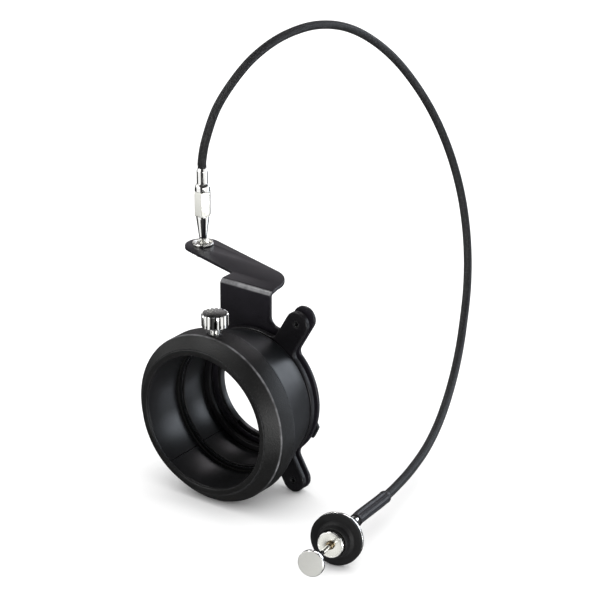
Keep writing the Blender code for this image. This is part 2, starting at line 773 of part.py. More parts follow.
def make_plunger():
    """Finger disc, barrel, rod and button, turned about the plunger's own level axis."""
    place = Vector((DISC_X, DISC_Y, DISC_R)) + ORIGIN_SHIFT
    turn = plunger_axis().to_track_quat("Z", "Y").to_euler()
    frame = make_frame("plunger_frame", place * MM, turn)
    disc = (
        (DISC_R - 0.4, 0.0),
        (DISC_R, -0.4),
        (DISC_R, -1.3),
        (BARREL_R + GAP, -1.3),
        (BARREL_R + GAP, 4.0),
        (BARREL_R + 0.8, 4.0),
        (BARREL_R + 1.1, 0.0),
    )
    turned("finger_disc", disc, frame, "black_plastic", steps=64)
    backing = (
        (DISC_R, -1.6),
        (DISC_R, -2.8),
        (DISC_R - 0.6, -3.4),
        (BARREL_R + GAP, -3.4),
        (BARREL_R + GAP, -1.6),
    )
    turned("disc_backing", backing, frame, "chrome", steps=64)
    barrel = (
        (BARREL_R - 0.3, BARREL_END),
        (BARREL_R, BARREL_END - 0.3),
        (BARREL_R, -9.6),
        (BARREL_R - 0.8, -11.0),
        (3.3, -11.0),
        (3.3, 4.2),
        (1.75, 4.2),
        (1.75, BARREL_END),
    )
    turned("plunger_barrel", barrel, frame, "satin_steel", steps=48)
    neck = (
        (3.0, -9.0),
        (3.0, -11.3),
        (4.0, -11.3),
        (4.0, -14.5),
        (2.7, -18.0),
        (2.4, NECK_END),
        (0.8, NECK_END),
        (0.8, -9.0),
    )
    turned("plunger_neck", neck, frame, "chrome", steps=32)
    guide = tube_profile(1.45, 1.05, 7.4, 4.6)
    turned("rod_guide", guide, frame, "brass", steps=20)
    back = BUTTON_FACE - BUTTON_T
    rod = (
        (0.0, back - GAP),
        (0.95, back - GAP),
        (0.95, 3.8),
        (2.6, 3.8),
        (2.6, 2.4),
        (0.6, 2.4),
        (0.6, -12.8),
        (0.0, -12.8),
    )
    turned("plunger_rod", rod, frame, "chrome", steps=20)
    button = (
        (0.0, BUTTON_FACE),
        (BUTTON_R - 0.5, BUTTON_FACE),
        (BUTTON_R, BUTTON_FACE - 0.4),
        (BUTTON_R, back + 0.5),
        (BUTTON_R - 0.5, back),
        (0.0, back),
    )
    turned("plunger_button", button, frame, "satin_steel", steps=48)
    make_spring(frame)


def make_spring(frame):
    """Return spring round the rod, between the piston's back and the neck's front."""
    turns = 7
    per_turn = 9
    start = 2.0
    end = -8.6
    wire = 0.22
    count = turns * per_turn
    points = []
    for i in range(count + 1):
        angle = 2.0 * math.pi * i / per_turn
        height = start + (end - start) * i / count
        points.append((2.35 * math.cos(angle), 2.35 * math.sin(angle), height))
    spring = tube("return_spring", points, wire, "spring_steel", 1)
    spring.parent = frame


clear_scene()
PARTS = make_collection("cable_shutter_release")
CUTTERS = make_collection("cutters")
for label, (tint, rough, metal) in MATERIALS.items():
    make_material(label, tint, rough, metal)
RING = make_frame(
    "ring_frame", (Vector((0.0, 0.0, AXIS_HEIGHT)) + ORIGIN_SHIFT) * MM, (LEAN, 0.0, 0.0)
)
make_housing()
make_clamp_screw()
make_flange()
make_bracket()
make_bayonet()
make_tip()
make_cable()
make_plunger()
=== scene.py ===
"""Cable shutter release on an eyepiece ring bracket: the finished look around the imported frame."""

import json
import math

import bmesh
import bpy
from mathutils import Matrix, Vector

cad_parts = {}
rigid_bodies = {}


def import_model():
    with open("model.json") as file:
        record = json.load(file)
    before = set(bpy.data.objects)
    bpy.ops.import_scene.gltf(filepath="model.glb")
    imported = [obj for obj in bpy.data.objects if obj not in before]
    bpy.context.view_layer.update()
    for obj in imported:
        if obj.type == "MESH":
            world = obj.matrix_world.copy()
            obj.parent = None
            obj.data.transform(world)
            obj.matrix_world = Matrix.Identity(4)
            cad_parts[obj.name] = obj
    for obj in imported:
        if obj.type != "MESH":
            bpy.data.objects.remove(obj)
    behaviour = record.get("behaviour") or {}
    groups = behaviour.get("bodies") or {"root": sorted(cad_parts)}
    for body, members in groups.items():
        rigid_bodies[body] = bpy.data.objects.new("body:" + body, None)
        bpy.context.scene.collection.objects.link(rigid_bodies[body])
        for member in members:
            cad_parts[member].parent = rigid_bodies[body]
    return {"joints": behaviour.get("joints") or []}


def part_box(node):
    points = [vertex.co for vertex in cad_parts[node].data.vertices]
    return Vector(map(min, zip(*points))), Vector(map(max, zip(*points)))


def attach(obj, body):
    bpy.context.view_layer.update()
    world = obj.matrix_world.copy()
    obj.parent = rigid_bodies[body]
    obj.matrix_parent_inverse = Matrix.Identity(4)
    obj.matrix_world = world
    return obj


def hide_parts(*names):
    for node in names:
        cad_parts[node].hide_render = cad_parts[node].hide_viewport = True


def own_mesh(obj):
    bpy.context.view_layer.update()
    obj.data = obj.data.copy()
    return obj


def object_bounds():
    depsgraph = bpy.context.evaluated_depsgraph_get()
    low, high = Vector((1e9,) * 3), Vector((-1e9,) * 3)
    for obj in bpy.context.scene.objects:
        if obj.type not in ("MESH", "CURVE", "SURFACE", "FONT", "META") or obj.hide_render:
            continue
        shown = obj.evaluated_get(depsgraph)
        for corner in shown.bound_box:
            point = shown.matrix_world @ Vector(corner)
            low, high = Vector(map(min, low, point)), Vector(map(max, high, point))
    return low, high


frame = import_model()
CAD_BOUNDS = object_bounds()

MM = 0.001
SMOOTH_ANGLE = math.radians(31.0)
JOINTS = {joint["name"]: joint for joint in frame["joints"]}

# Sizes that the frame also has, in millimetres
CREST_R = 36.0
LIP_R = 31.2
LIP_Y = -5.3
BORE_R = 28.7
BAND_END_Y = 8.4
BARREL_REAR_Y = 29.6
BARREL_REAR_R = 28.5
SLEEVE_OUT_R = 30.3
SPIGOT_OUT_R = 32.6
SPIGOT_Y = 3.0
REAR_BORE_R = 26.2
REAR_SLEEVE_OUT_R = 27.0
STEP_Y = 16.3
FLANGE_R = 28.9
FLANGE_HOLE_R = 23.7
FLANGE_FRONT_Y = 29.9
FLANGE_T = 2.5
PLATE_FRONT_Y = 34.2
SHEET_T = 1.5
PLATE_R = 29.2
PLATE_HOLE_R = 22.4
APERTURE_R = 20.75
LOCK_Y = 36.8
SLEEVE_REAR_Y = 14.6
UPPER_EAR = (30.0, 42.0)
PLATE_EAR_REACH = 1.6
LOWER_EARS = ((150.0, 39.4), (210.0, 39.4))
EARS = (UPPER_EAR, *LOWER_EARS)
EAR_R = 5.2
EAR_FILLET = 3.2
EAR_PIN_R = 1.35
EAR_PIN_BORE_R = 0.85
TAB_LEFT_X = -20.9
TAB_RIGHT_X = 4.9
ARM_TOP_Z = 45.0
BEND_R = 1.0
TAB_FILLET = 4.1
ARM_ANGLE = math.radians(17.0)
ARM_HALF_WIDTH = 7.8
ARM_CORNER_R = 15.0
ARM_RIGHT_X = 3.9
ARM_NOTCH_R = 1.6
TIP_X = -49.9
TIP_Y = 60.2
SCREW_Y = 3.9
KNOB_R = 5.45
KNOB_TOP_Z = 45.1
KNOB_BASE_Z = 39.6
FLUTES = 18
THREAD_R = 1.95
THREAD_ROOT_R = 1.72
THREAD_PITCH = 0.5
SHEATH_R = 1.9
RELIEF_R = 2.7
RELIEF_LENGTH = 34.0
FERRULE_TOP_Z = 79.7
DISC_R = 10.6
BARREL_R = 5.3
BARREL_END = 6.0
BUTTON_FACE = 26.3
BUTTON_T = 2.0
BUTTON_R = 5.2
NECK_END = -21.3
SPRING_TURNS = 7
SPRING_R = 2.35
SPRING_WIRE_R = 0.22
SPRING_TOP = 2.0
SPRING_BOTTOM = -8.6
GAP = 0.3
SPLIT_BEARING = 232.0
SEAM = 0.5
BUSH_R = 3.0
PAD_R = 1.9

# The cable's route, as in the frame
ORIGIN_SHIFT = Vector((10.832, -27.033, 0.0))
CABLE_ROUTE = (
    (-49.6, 52.0, 133.6), (-48.8, 57.3, 146.7), (-46.9, 66.9, 158.7), (-45.3, 78.9, 167.6),
    (-43.6, 95.5, 173.9), (-41.5, 115.6, 176.3), (-39.2, 136.3, 173.2), (-36.5, 156.2, 164.6),
    (-32.8, 174.4, 151.4), (-26.5, 189.5, 132.8), (-19.3, 197.8, 113.2), (-11.5, 199.8, 93.3),
    (-3.7, 196.2, 73.7), (4.4, 186.8, 55.3), (13.0, 171.7, 38.6), (20.4, 156.7, 27.5),
    (28.2, 139.0, 19.0), (36.8, 118.1, 13.0), (44.9, 96.1, 9.5), (52.5, 73.0, 8.4),
    (58.8, 52.3, 8.8), (63.6, 34.6, 9.6),
)

# Camera
CAMERA_AT = (0.55210, -0.75823, 0.37553)
CAMERA_TOWARDS = (-0.53938, 0.78647, -0.30089)
CAMERA_ROLL = math.radians(4.13)
CAMERA_LENS = 144.0

WORLD_STRENGTH = 0.055
BRIGHT_FINISHES = (
    "chrome", "chrome_turned", "knob_top", "knob_side", "steel_wire", "brass", "bushing_steel",
)
SATIN_FINISHES = ("satin", "satin_facet", "barrel_face")
WHITE = (1.0, 1.0, 1.0)
COOL = (0.90, 0.97, 1.07)
WARM = (1.04, 0.99, 1.05)

# Area lights: name, place, size, radiance, what they fall on, tint
LIGHTS = (
    ("back", (0.15, 1.4, 0.42), (0.7, 0.6), 2.6, "object", COOL),
    ("back_right", (0.85, 1.15, 0.42), (0.6, 0.6), 3.0, "object", COOL),
    ("floor_glow", (0.75, 1.05, -0.30), (0.8, 0.5), 0.9, "object", COOL),
    ("back_high", (-0.2, 1.15, 0.95), (0.5, 0.5), 2.2, "object", WARM),
    ("back_left", (-0.9, 1.1, 0.5), (0.6, 0.6), 0.5, "object", WARM),
    ("front_right", (1.1, -0.75, -0.12), (0.6, 0.5), 4.8, "object", WHITE),
    ("right_strip", (1.3, -0.3, -0.1), (0.5, 0.25), 14.0, "object", WHITE),
    ("front_left", (-0.6, -1.3, 0.5), (0.6, 0.6), 2.5, "object", WHITE),
    ("left", (-1.3, -0.35, 0.45), (0.5, 0.8), 1.5, "object", WHITE),
    ("left_low", (-1.3, 0.5, 0.3), (0.5, 0.5), 1.0, "object", WHITE),
    ("overhead", (-0.5, -0.27, 1.0), (0.4, 0.4), 10.0, "object", WHITE),
    ("metal_right", (1.2, 0.25, 0.0), (1.95, 1.9), 1.05, "metal", WHITE),
    ("metal_left", (-0.6, -1.07, 0.0), (1.6, 1.9), 1.05, "metal", WHITE),
    ("metal_top", (0.2, 0.2, 1.5), (1.2, 1.2), 0.8, "metal", WHITE),
    ("metal_back", (-0.9, 0.9, 0.35), (0.7, 0.9), 0.4, "metal", WHITE),
    ("satin_front", (0.8, -1.1, -0.1), (0.8, 1.2), 0.42, "satin", WHITE),
)
LIGHT_AIM = {"object": (0.02, 0.0, 0.06), "metal": (-0.02, 0.0, 0.06), "satin": (-0.02, 0.0, 0.06)}
WASH_STRENGTH = 4.8
WASH_SPREAD = math.radians(150.0)
FLOOR_HALF = 8.0
LINKS = {}


def basis(x_axis, y_axis, z_axis, origin):
    matrix = Matrix.Identity(4)
    for column, vector in enumerate((x_axis, y_axis, z_axis, origin)):
        for row in range(3):
            matrix[row][column] = vector[row]
    return matrix


def ring_matrix():
    """The ring's frame in metres: Y along its axis, Z up its tab, origin at the crest."""
    lock = JOINTS["lock_turn"]
    rear = Vector(lock["axis"]).normalized()
    up = Vector(JOINTS["clamp_turn"]["axis"]).normalized()
    origin = Vector(lock["pos_m"]) - rear * LOCK_Y * MM
    return basis(rear.cross(up), rear, up, origin)


def plunger_matrix():
    """The plunger's frame in metres: Z towards the button, origin at the disc's front face."""
    axis = -Vector(JOINTS["plunger_press"]["axis"]).normalized()
    low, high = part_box("finger_disc")
    side = Vector((0.0, 0.0, 1.0)).cross(axis).normalized()
    return basis(side, axis.cross(side), axis, (low + high) / 2 + axis * 0.65 * MM)


RING = ring_matrix()
AXIS = RING @ Matrix.Rotation(math.pi / 2, 4, "X")
SCREW = RING @ Matrix.Translation((0.0, SCREW_Y * MM, 0.0))
TIP = RING @ Matrix.Translation((TIP_X * MM, TIP_Y * MM, 0.0))
PLUNGER = plunger_matrix()


# ---------------------------------------------------------------- materials


class Surface:
    """A Principled material with helpers for its nodes."""

    def __init__(self, name, **sockets):
        self.material = bpy.data.materials.new(name)
        self.material.use_nodes = True
        self.tree = self.material.node_tree
        self.shader = self.tree.nodes["Principled BSDF"]
        self.set(self.shader, sockets)

    def set(self, node, sockets):
        for name, value in sockets.items():
            socket = node.inputs[name]
            if isinstance(value, bpy.types.NodeSocket):
                self.tree.links.new(value, socket)
            elif isinstance(value, tuple) and len(value) == 3 and socket.type == "RGBA":
                socket.default_value = (*value, 1.0)
            else:
                socket.default_value = value

    def node(self, kind, output=0, props=None, **sockets):
        made = self.tree.nodes.new("ShaderNode" + kind)
        for key, value in (props or {}).items():
            setattr(made, key, value)
        self.set(made, sockets)
        return made.outputs[output]

    def math(self, operation, first, second=0.0):
        made = self.tree.nodes.new("ShaderNodeMath")
        made.operation = operation
        for socket, value in zip(made.inputs, (first, second)):
            if isinstance(value, bpy.types.NodeSocket):
                self.tree.links.new(value, socket)
            else:
                socket.default_value = value
        return made.outputs[0]

    def times(self, first, second):
        return self.math("MULTIPLY", first, second)

    def place(self, scale=(1.0, 1.0, 1.0)):
        """The piece's own coordinates, scaled so that one unit is a millimetre."""
        coordinates = self.node("TexCoord", output=3)
        return self.node(
            "Mapping", Vector=coordinates, Scale=tuple(1000.0 * value for value in scale)
        )

    def noise(self, vector, scale, detail=3.0, roughness=0.55):
        return self.node(
            "TexNoise", Vector=vector, Scale=scale, Detail=detail, Roughness=roughness
        )

    def ramp(self, value, low, high, start=0.0, end=1.0):
        return self.node(
            "MapRange",
            Value=value,
            **{"From Min": start, "From Max": end, "To Min": low, "To Max": high},
        )

    def mix(self, factor, first, second):
        made = self.tree.nodes.new("ShaderNodeMix")
        made.data_type = "RGBA"
        self.tree.links.new(factor, made.inputs[0])
        for socket, value in zip((made.inputs[6], made.inputs[7]), (first, second)):
            if isinstance(value, bpy.types.NodeSocket):
                self.tree.links.new(value, socket)
            else:
                socket.default_value = (*value, 1.0)
        return made.outputs[2]

    def bump(self, height, distance):
        return self.node("Bump", Height=height, Distance=distance * MM)

    def split(self, vector):
        parts = self.tree.nodes.new("ShaderNodeSeparateXYZ")
        self.tree.links.new(vector, parts.inputs[0])
        return parts.outputs

    def radius_and_angle(self):
        """Millimetres from the piece's Z axis, turn about it from -0.5 to 0.5, and Z."""
        x, y, z = self.split(self.place())
        radius = self.math("SQRT", self.math("ADD", self.times(x, x), self.times(y, y)))
        angle = self.math("DIVIDE", self.math("ARCTAN2", y, x), 2.0 * math.pi)
        return radius, angle, z

    def tool_rings(self, lines, stretch):
        """Noise drawn out round the piece's axis, like the marks of a lathe tool."""
        radius, angle, height = self.radius_and_angle()
        across = self.math("ADD", self.times(radius, 0.73), height)
        vector = self.node("CombineXYZ", X=self.times(angle, stretch), Y=across)
        return self.noise(vector, lines, 3.0, 0.6)

    def cloudy(self, clouds, first, second):
        """A colour that drifts from first to second with a noise."""
        return self.mix(self.ramp(clouds, 0.0, 1.0, 0.3, 0.7), first, second)

    def finish(self, color, gloss, normal):
        self.set(self.shader, {"Base Color": color, "Roughness": gloss, "Normal": normal})
        return self.material


def tinted(tint, factor):
    return tuple(factor * value for value in tint)


def edge_wear_and_highlight(surface, base):
    """Base colour made a little lighter where an edge turns sharply: partly wear of the finish,
    partly a painted edge highlight.
    """
    bevel = surface.node("Bevel", props={"samples": 4}, Radius=0.3 * MM)
    normal = surface.node("NewGeometry", output=1)
    dot = surface.node("VectorMath", output=1, props={"operation": "DOT_PRODUCT"})
    for socket, vector in zip(dot.node.inputs, (bevel, normal)):
        surface.tree.links.new(vector, socket)
    edge = surface.ramp(dot, 0.85, 0.0, 0.80, 1.0)
    patchy = surface.ramp(surface.noise(surface.place(), 0.9, 4.0), 0.1, 1.0, 0.35, 0.62)
    # Lighter edge colour: part wear, part painted highlight.
    return surface.mix(surface.times(edge, patchy), base, (0.17, 0.175, 0.185))


def painted_bend_highlight(surface, base):
    """Painted highlight on the outside of the bracket's bend, where Z less Y is greatest."""
    x, y, z = surface.split(surface.place())
    at_bend = surface.ramp(surface.math("SUBTRACT", z, y), 0.0, 1.0, 8.85, 9.2)
    patchy = surface.ramp(surface.noise(surface.place(), 0.3, 3.0), 0.5, 1.0, 0.35, 0.62)
    # Painted highlight colour along the outside of the bend.
    return surface.mix(surface.times(at_bend, patchy), base, (0.30, 0.30, 0.31))


def painted_crest_highlight(surface, base):
    """Painted highlight along the ring's crest, which fades out towards the left and the bottom."""
    radius, angle, height = surface.radius_and_angle()
    at_crest = surface.ramp(surface.math("ABSOLUTE", height), 1.0, 0.0, 0.15, 0.55)
    at_crest = surface.times(at_crest, surface.ramp(radius, 0.0, 1.0, 35.4, 35.8))
    patchy = surface.ramp(surface.noise(surface.place(), 0.22, 2.0), 0.35, 1.0, 0.35, 0.62)
    # The painted highlight fades out towards the left and the bottom.
    below = surface.ramp(angle, 0.0, 1.0, -0.17, -0.05)
    before = surface.ramp(angle, 1.0, 0.0, 0.30, 0.40)
    patchy = surface.times(patchy, surface.times(below, before))
    # Painted highlight colour on the crest.
    return surface.mix(surface.times(at_crest, patchy), base, (0.22, 0.22, 0.23))


def satin_black(name, tint, low, high, grain, depth, specular, painted_highlight=None):
    """Black finish over metal: fine grain in the bump, cloudy gloss, edges lightened by wear and
    painted highlight, and an optional painted highlight line.
    """
    surface = Surface(name, **{"Specular IOR Level": specular})
    clouds = surface.noise(surface.place(), 0.11, 4.0)
    fine = surface.noise(surface.place(), grain, 2.0, 0.7)
    color = surface.cloudy(clouds, tinted(tint, 0.80), tinted(tint, 1.25))
    speck = surface.ramp(fine, 0.0, 0.5, 0.56, 0.78)
    color = surface.mix(speck, color, tuple(2.6 * value + 0.006 for value in tint))
    color = edge_wear_and_highlight(surface, color)
    # Optional painted highlight line, along the crest or the bend.
    if painted_highlight:
        color = painted_highlight(surface, color)
    gloss = surface.math(
        "ADD",
        surface.ramp(clouds, low, high, 0.3, 0.7),
        surface.ramp(fine, -0.04, 0.06, 0.3, 0.7),
    )
    return surface.finish(color, gloss, surface.bump(fine, depth))


def turned_black(name, tint, roughness, lines, depth):
    """Black anodising over turned metal, with the tool's fine rings left in it."""
    surface = Surface(name, Anisotropic=0.4)
    rings = surface.tool_rings(lines, 2.5)
    clouds = surface.noise(surface.place(), 0.16, 3.0)
    color = surface.mix(
        surface.ramp(rings, 0.0, 1.0, 0.35, 0.65), tinted(tint, 0.9), tinted(tint, 1.12)
    )
    gloss = surface.math(
        "ADD",
        surface.ramp(clouds, roughness - 0.015, roughness + 0.02, 0.3, 0.7),
        surface.ramp(rings, -0.02, 0.02, 0.3, 0.7),
    )
    return surface.finish(color, gloss, surface.bump(rings, depth))


def plated(name, tint, roughness, lines=0.0, depth=0.0, shade_radius=0.0, painted_fan=0.0):
    """Bright or satin plating with faint rubs, and turning rings where lines are asked for.

    Inside the given shade radius the colour darkens as painted shade in the flutes' valleys, and the
    fan strength sets dark streaks from the middle, a painted reflection.
    """
    surface = Surface(name, Metallic=1.0)
    clouds = surface.noise(surface.place(), 0.35, 4.0)
    rubs = surface.noise(surface.place((1.0, 1.0, 0.12)), 4.5, 2.0, 0.7)
    gloss = surface.math(
        "ADD",
        surface.ramp(clouds, roughness * 0.85, roughness * 1.25, 0.3, 0.7),
        surface.ramp(rubs, 0.0, roughness * 0.35, 0.55, 0.75),
    )
    color = surface.cloudy(clouds, tinted(tint, 0.94), tint)
    radius, angle, height = surface.radius_and_angle()
    if shade_radius:
        # Painted shade: darker towards the axis, down in the knob's flute valleys.
        painted_flute_shade = surface.ramp(radius, 1.0, 0.0, shade_radius - 0.45, shade_radius)
        color = surface.mix(painted_flute_shade, color, (0.02, 0.02, 0.02))
    if painted_fan:
        # Painted reflection: dark streaks fanning out from the middle, standing in for a brushed
        # top's reflections.
        across = surface.times(radius, 0.05)
        around = surface.node("CombineXYZ", X=surface.times(angle, 7.0), Y=across)
        painted_fan_streaks = surface.ramp(surface.noise(around, 1.7, 5.0, 0.7), 0.0, painted_fan, 0.35, 0.65)
        color = surface.mix(painted_fan_streaks, color, (0.03, 0.03, 0.03))
    if lines:
        return surface.finish(color, gloss, surface.bump(surface.tool_rings(lines, 9.0), depth))
    return surface.finish(color, gloss, surface.bump(rubs, 0.002))


def moulded(name, tint, roughness, grain=2.2, depth=0.02):
    """Moulded plastic or rubber with a fine spark-eroded grain."""
    surface = Surface(name, **{"Specular IOR Level": 0.35})
    fine = surface.noise(surface.place(), grain, 2.0, 0.6)
    clouds = surface.noise(surface.place(), 0.25, 3.0)
    color = surface.cloudy(clouds, tinted(tint, 0.8), tint)
    gloss = surface.ramp(clouds, roughness - 0.05, roughness + 0.07, 0.3, 0.7)
    return surface.finish(color, gloss, surface.bump(fine, depth))


def braided(name, tint, light):
    """A fine two-way braid: U runs round the cable once, V along it in millimetres."""
    surface = Surface(name, **{"Specular IOR Level": 0.5})
    u, v, _ = surface.split(surface.node("TexCoord", output=2))
    around = surface.times(u, 2.0 * math.pi * 6.0)
    along = surface.times(v, 2.0 * math.pi / 1.9)
    right = surface.math("SINE", surface.math("ADD", around, along))
    left = surface.math("SINE", surface.math("SUBTRACT", around, along))
    over = surface.math("GREATER_THAN", surface.times(right, left), 0.0)
    first = surface.math("ABSOLUTE", right)
    second = surface.math("ABSOLUTE", left)
    height = surface.math("MAXIMUM", surface.times(first, over), second)
    strands = surface.math("SINE", surface.times(surface.math("ADD", around, along), 5.0))
    fuzz = surface.noise(surface.place(), 6.0, 3.0, 0.7)
    speck = surface.ramp(surface.noise(surface.place(), 1.6, 2.0), 0.0, 1.0, 0.50, 0.70)
    # Painted highlight: lighter colour on the raised crossings of the weave.
    painted_crown_highlight = surface.times(surface.math("POWER", height, 2.0), speck)
    shade = surface.mix(painted_crown_highlight, tint, light)
    shade = surface.mix(surface.ramp(strands, 0.0, 0.25, -1.0, 1.0), shade, (0.004, 0.004, 0.005))
    whole = surface.math("ADD", height, surface.times(fuzz, 0.5))
    gloss = surface.ramp(fuzz, 0.42, 0.6, 0.3, 0.7)
    return surface.finish(shade, gloss, surface.bump(whole, 0.16))


def pale_floor():
    surface = Surface("pale_floor", **{"Specular IOR Level": 0.15, "Roughness": 0.9})
    clouds = surface.noise(surface.place((0.01, 0.01, 0.01)), 1.0, 2.0)
    shade = surface.mix(clouds, (0.88, 0.88, 0.88), (0.90, 0.90, 0.90))
    surface.set(surface.shader, {"Base Color": shade})
    return surface.material


FINISHES = {
    "grained_black": (satin_black, (0.010, 0.010, 0.010), 0.38, 0.46, 1.5, 0.13, 0.35, painted_crest_highlight),
    "smooth_black": (satin_black, (0.010, 0.0105, 0.012), 0.36, 0.44, 5.5, 0.008, 0.4),
    "flange_black": (satin_black, (0.009, 0.0085, 0.010), 0.30, 0.40, 4.5, 0.012, 0.3),
    "sheet_black": (satin_black, (0.015, 0.0135, 0.018), 0.30, 0.38, 3.0, 0.015, 0.4, painted_bend_highlight),
    "liner_black": (turned_black, (0.012, 0.012, 0.013), 0.32, 3.0, 0.005),
    "mount_black": (turned_black, (0.016, 0.016, 0.017), 0.32, 3.0, 0.006),
    "seal_black": (moulded, (0.006, 0.006, 0.006), 0.75),
    "spacer_black": (moulded, (0.012, 0.012, 0.013), 0.55),
    "disc_black": (moulded, (0.013, 0.013, 0.0135), 0.58, 3.0, 0.03),
    "boot_black": (moulded, (0.016, 0.015, 0.018), 0.42, 2.5, 0.015),
    "chrome": (plated, (0.86, 0.86, 0.84), 0.07),
    "chrome_turned": (plated, (0.84, 0.84, 0.82), 0.13, 5.0, 0.006),
    "knob_top": (plated, (0.24, 0.235, 0.23), 0.24, 4.0, 0.012, 0.0, 0.85),
    "knob_side": (plated, (0.86, 0.86, 0.84), 0.10, 0.0, 0.0, 5.2),
    "satin": (plated, (0.78, 0.78, 0.74), 0.34, 6.0, 0.006),
    "satin_facet": (plated, (0.78, 0.78, 0.73), 0.36),
    "barrel_face": (plated, (0.80, 0.80, 0.74), 0.20, 6.0, 0.004),
    "bushing_steel": (plated, (0.70, 0.69, 0.66), 0.16, 5.0, 0.004),
    "steel_wire": (plated, (0.55, 0.55, 0.55), 0.25),
    "brass": (plated, (0.30, 0.24, 0.15), 0.24, 5.0, 0.008),
    "nylon": (moulded, (0.72, 0.70, 0.66), 0.5),
    "braid": (braided, (0.010, 0.010, 0.011), (0.075, 0.075, 0.08)),
}
MATERIALS = {name: make(name, *values) for name, (make, *values) in FINISHES.items()}
MATERIALS["floor"] = pale_floor()


# ---------------------------------------------------------------- shapes


def linked(name, data):
    thing = bpy.data.objects.new(name, data)
    bpy.context.scene.collection.objects.link(thing)
    return thing


def to_mesh(bm, name):
    mesh = bpy.data.meshes.new(name)
    bm.to_mesh(mesh)
    bm.free()
    return mesh


def lift(mesh, height):
    mesh.transform(Matrix.Translation((0.0, 0.0, height)))


def add(name, mesh, matrix, material, body, slot, *nodes):
    """Adds a mesh in millimetres as a piece on a body, in place of the CAD nodes named."""
    mesh.transform(Matrix.Scale(MM, 4))
    mesh.materials.clear()
    mesh.materials.append(MATERIALS[material])
    mesh.shade_smooth()
    mesh.set_sharp_from_angle(angle=SMOOTH_ANGLE)
    piece = linked(name, mesh)
    piece.matrix_world = matrix
    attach(piece, body)
    if nodes:
        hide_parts(*nodes)
    return piece


def rounded(points, steps=4, closed=True):
    """Outline with its corners rounded: each point is (x, y) or (x, y, radius)."""
    count = len(points)
    result = []
    for i, point in enumerate(points):
        here = Vector(point[:2])
        radius = point[2] if len(point) > 2 else 0.0
        if radius <= 0.0 or (not closed and i in (0, count - 1)):
            result.append(tuple(here))
            continue
        before = Vector(points[i - 1][:2]) - here
        after = Vector(points[(i + 1) % count][:2]) - here
        bend = before.angle(after)
        reach = min(radius / math.tan(bend / 2), 0.49 * before.length, 0.49 * after.length)
        radius = reach * math.tan(bend / 2)
        start = here + before.normalized() * reach
        end = here + after.normalized() * reach
        middle = before.normalized() + after.normalized()
        center = here + middle.normalized() * (radius / math.sin(bend / 2))
        first = start - center
        turn = first.angle_signed(end - center)
        for k in range(steps + 1):
            spin = Matrix.Rotation(-turn * k / steps, 2)
            result.append(tuple(center + spin @ first))
    return result


def lathe(profile, segments, start=0.0, sweep=360.0):
    """A turned mesh from (radius, height) points; a part turn has its two ends closed."""
    whole = sweep >= 359.99
    on_axis = profile[0][0] <= 1e-6
    count = segments if whole else segments + 1
    bm = bmesh.new()
    columns = []
    poles = {}
    for i in range(count):
        angle = math.radians(start + sweep * i / segments)
        column = []
        for k, (radius, height) in enumerate(profile):
            if radius <= 1e-6:
                if k not in poles:
                    poles[k] = bm.verts.new((0.0, 0.0, height))
                column.append(poles[k])
            else:
                column.append(
                    bm.verts.new((radius * math.cos(angle), radius * math.sin(angle), height))
                )
        columns.append(column)
    rows = len(profile) if not on_axis else len(profile) - 1
    for i in range(segments):
        first, second = columns[i], columns[(i + 1) % count]
        for k in range(rows):
            j = (k + 1) % len(profile)
            corners = []
            for vert in (first[k], first[j], second[j], second[k]):
                if vert not in corners:
                    corners.append(vert)
            if len(corners) > 2:
                bm.faces.new(corners)
    if not whole:
        bm.faces.new(columns[0])
        bm.faces.new(list(reversed(columns[-1])))
    bmesh.ops.recalc_face_normals(bm, faces=bm.faces)
    return to_mesh(bm, "lathe")


def turned(points, segments, closed=True):
    """A turned mesh from (radius, height, rounding) points."""
    return lathe(rounded(points, closed=closed), segments)


def ring_turned(points, segments, start=0.0, sweep=360.0):
    """A turned mesh from (radius, y, rounding) points of the ring's frame."""
    profile = rounded([(point[0], -point[1], *point[2:]) for point in points])
    return lathe(profile, segments, start, sweep)


def arc(center, radius, start, end, steps):
    points = []
    for i in range(steps + 1):
        angle = math.radians(start + (end - start) * i / steps)
        points.append((center[0] + radius * math.cos(angle), center[1] + radius * math.sin(angle)))
    return points


def circle(radius, steps, center=(0.0, 0.0)):
    return arc(center, radius, 0.0, 360.0, steps)[:-1]


def hexagon(radius, corner):
    turns = [k * math.pi / 3 for k in range(6)]
    return rounded([(radius * math.cos(a), radius * math.sin(a), corner) for a in turns])


def plate(loops, thickness, edge):
    """A flat plate in XY, middle at z = 0, with holes and rounded edges."""
    curve = bpy.data.curves.new("plate", "CURVE")
    curve.dimensions = "2D"
    curve.fill_mode = "BOTH"
    curve.extrude = thickness / 2 - edge
    curve.bevel_depth = edge
    curve.bevel_resolution = 3
    curve.offset = -edge
    for loop in loops:
        spline = curve.splines.new("POLY")
        spline.points.add(len(loop) - 1)
        for point, (x, y) in zip(spline.points, loop):
            point.co = (x, y, 0.0, 1.0)
        spline.use_cyclic_u = True
    guide = linked("plate", curve)
    graph = bpy.context.evaluated_depsgraph_get()
    mesh = bpy.data.meshes.new_from_object(guide.evaluated_get(graph))
    bpy.data.objects.remove(guide)
    bpy.data.curves.remove(curve)
    bm = bmesh.new()
    bm.from_mesh(mesh)
    bmesh.ops.remove_doubles(bm, verts=bm.verts, dist=0.004)
    bmesh.ops.recalc_face_normals(bm, faces=bm.faces)
    bm.to_mesh(mesh)
    bm.free()
    return mesh


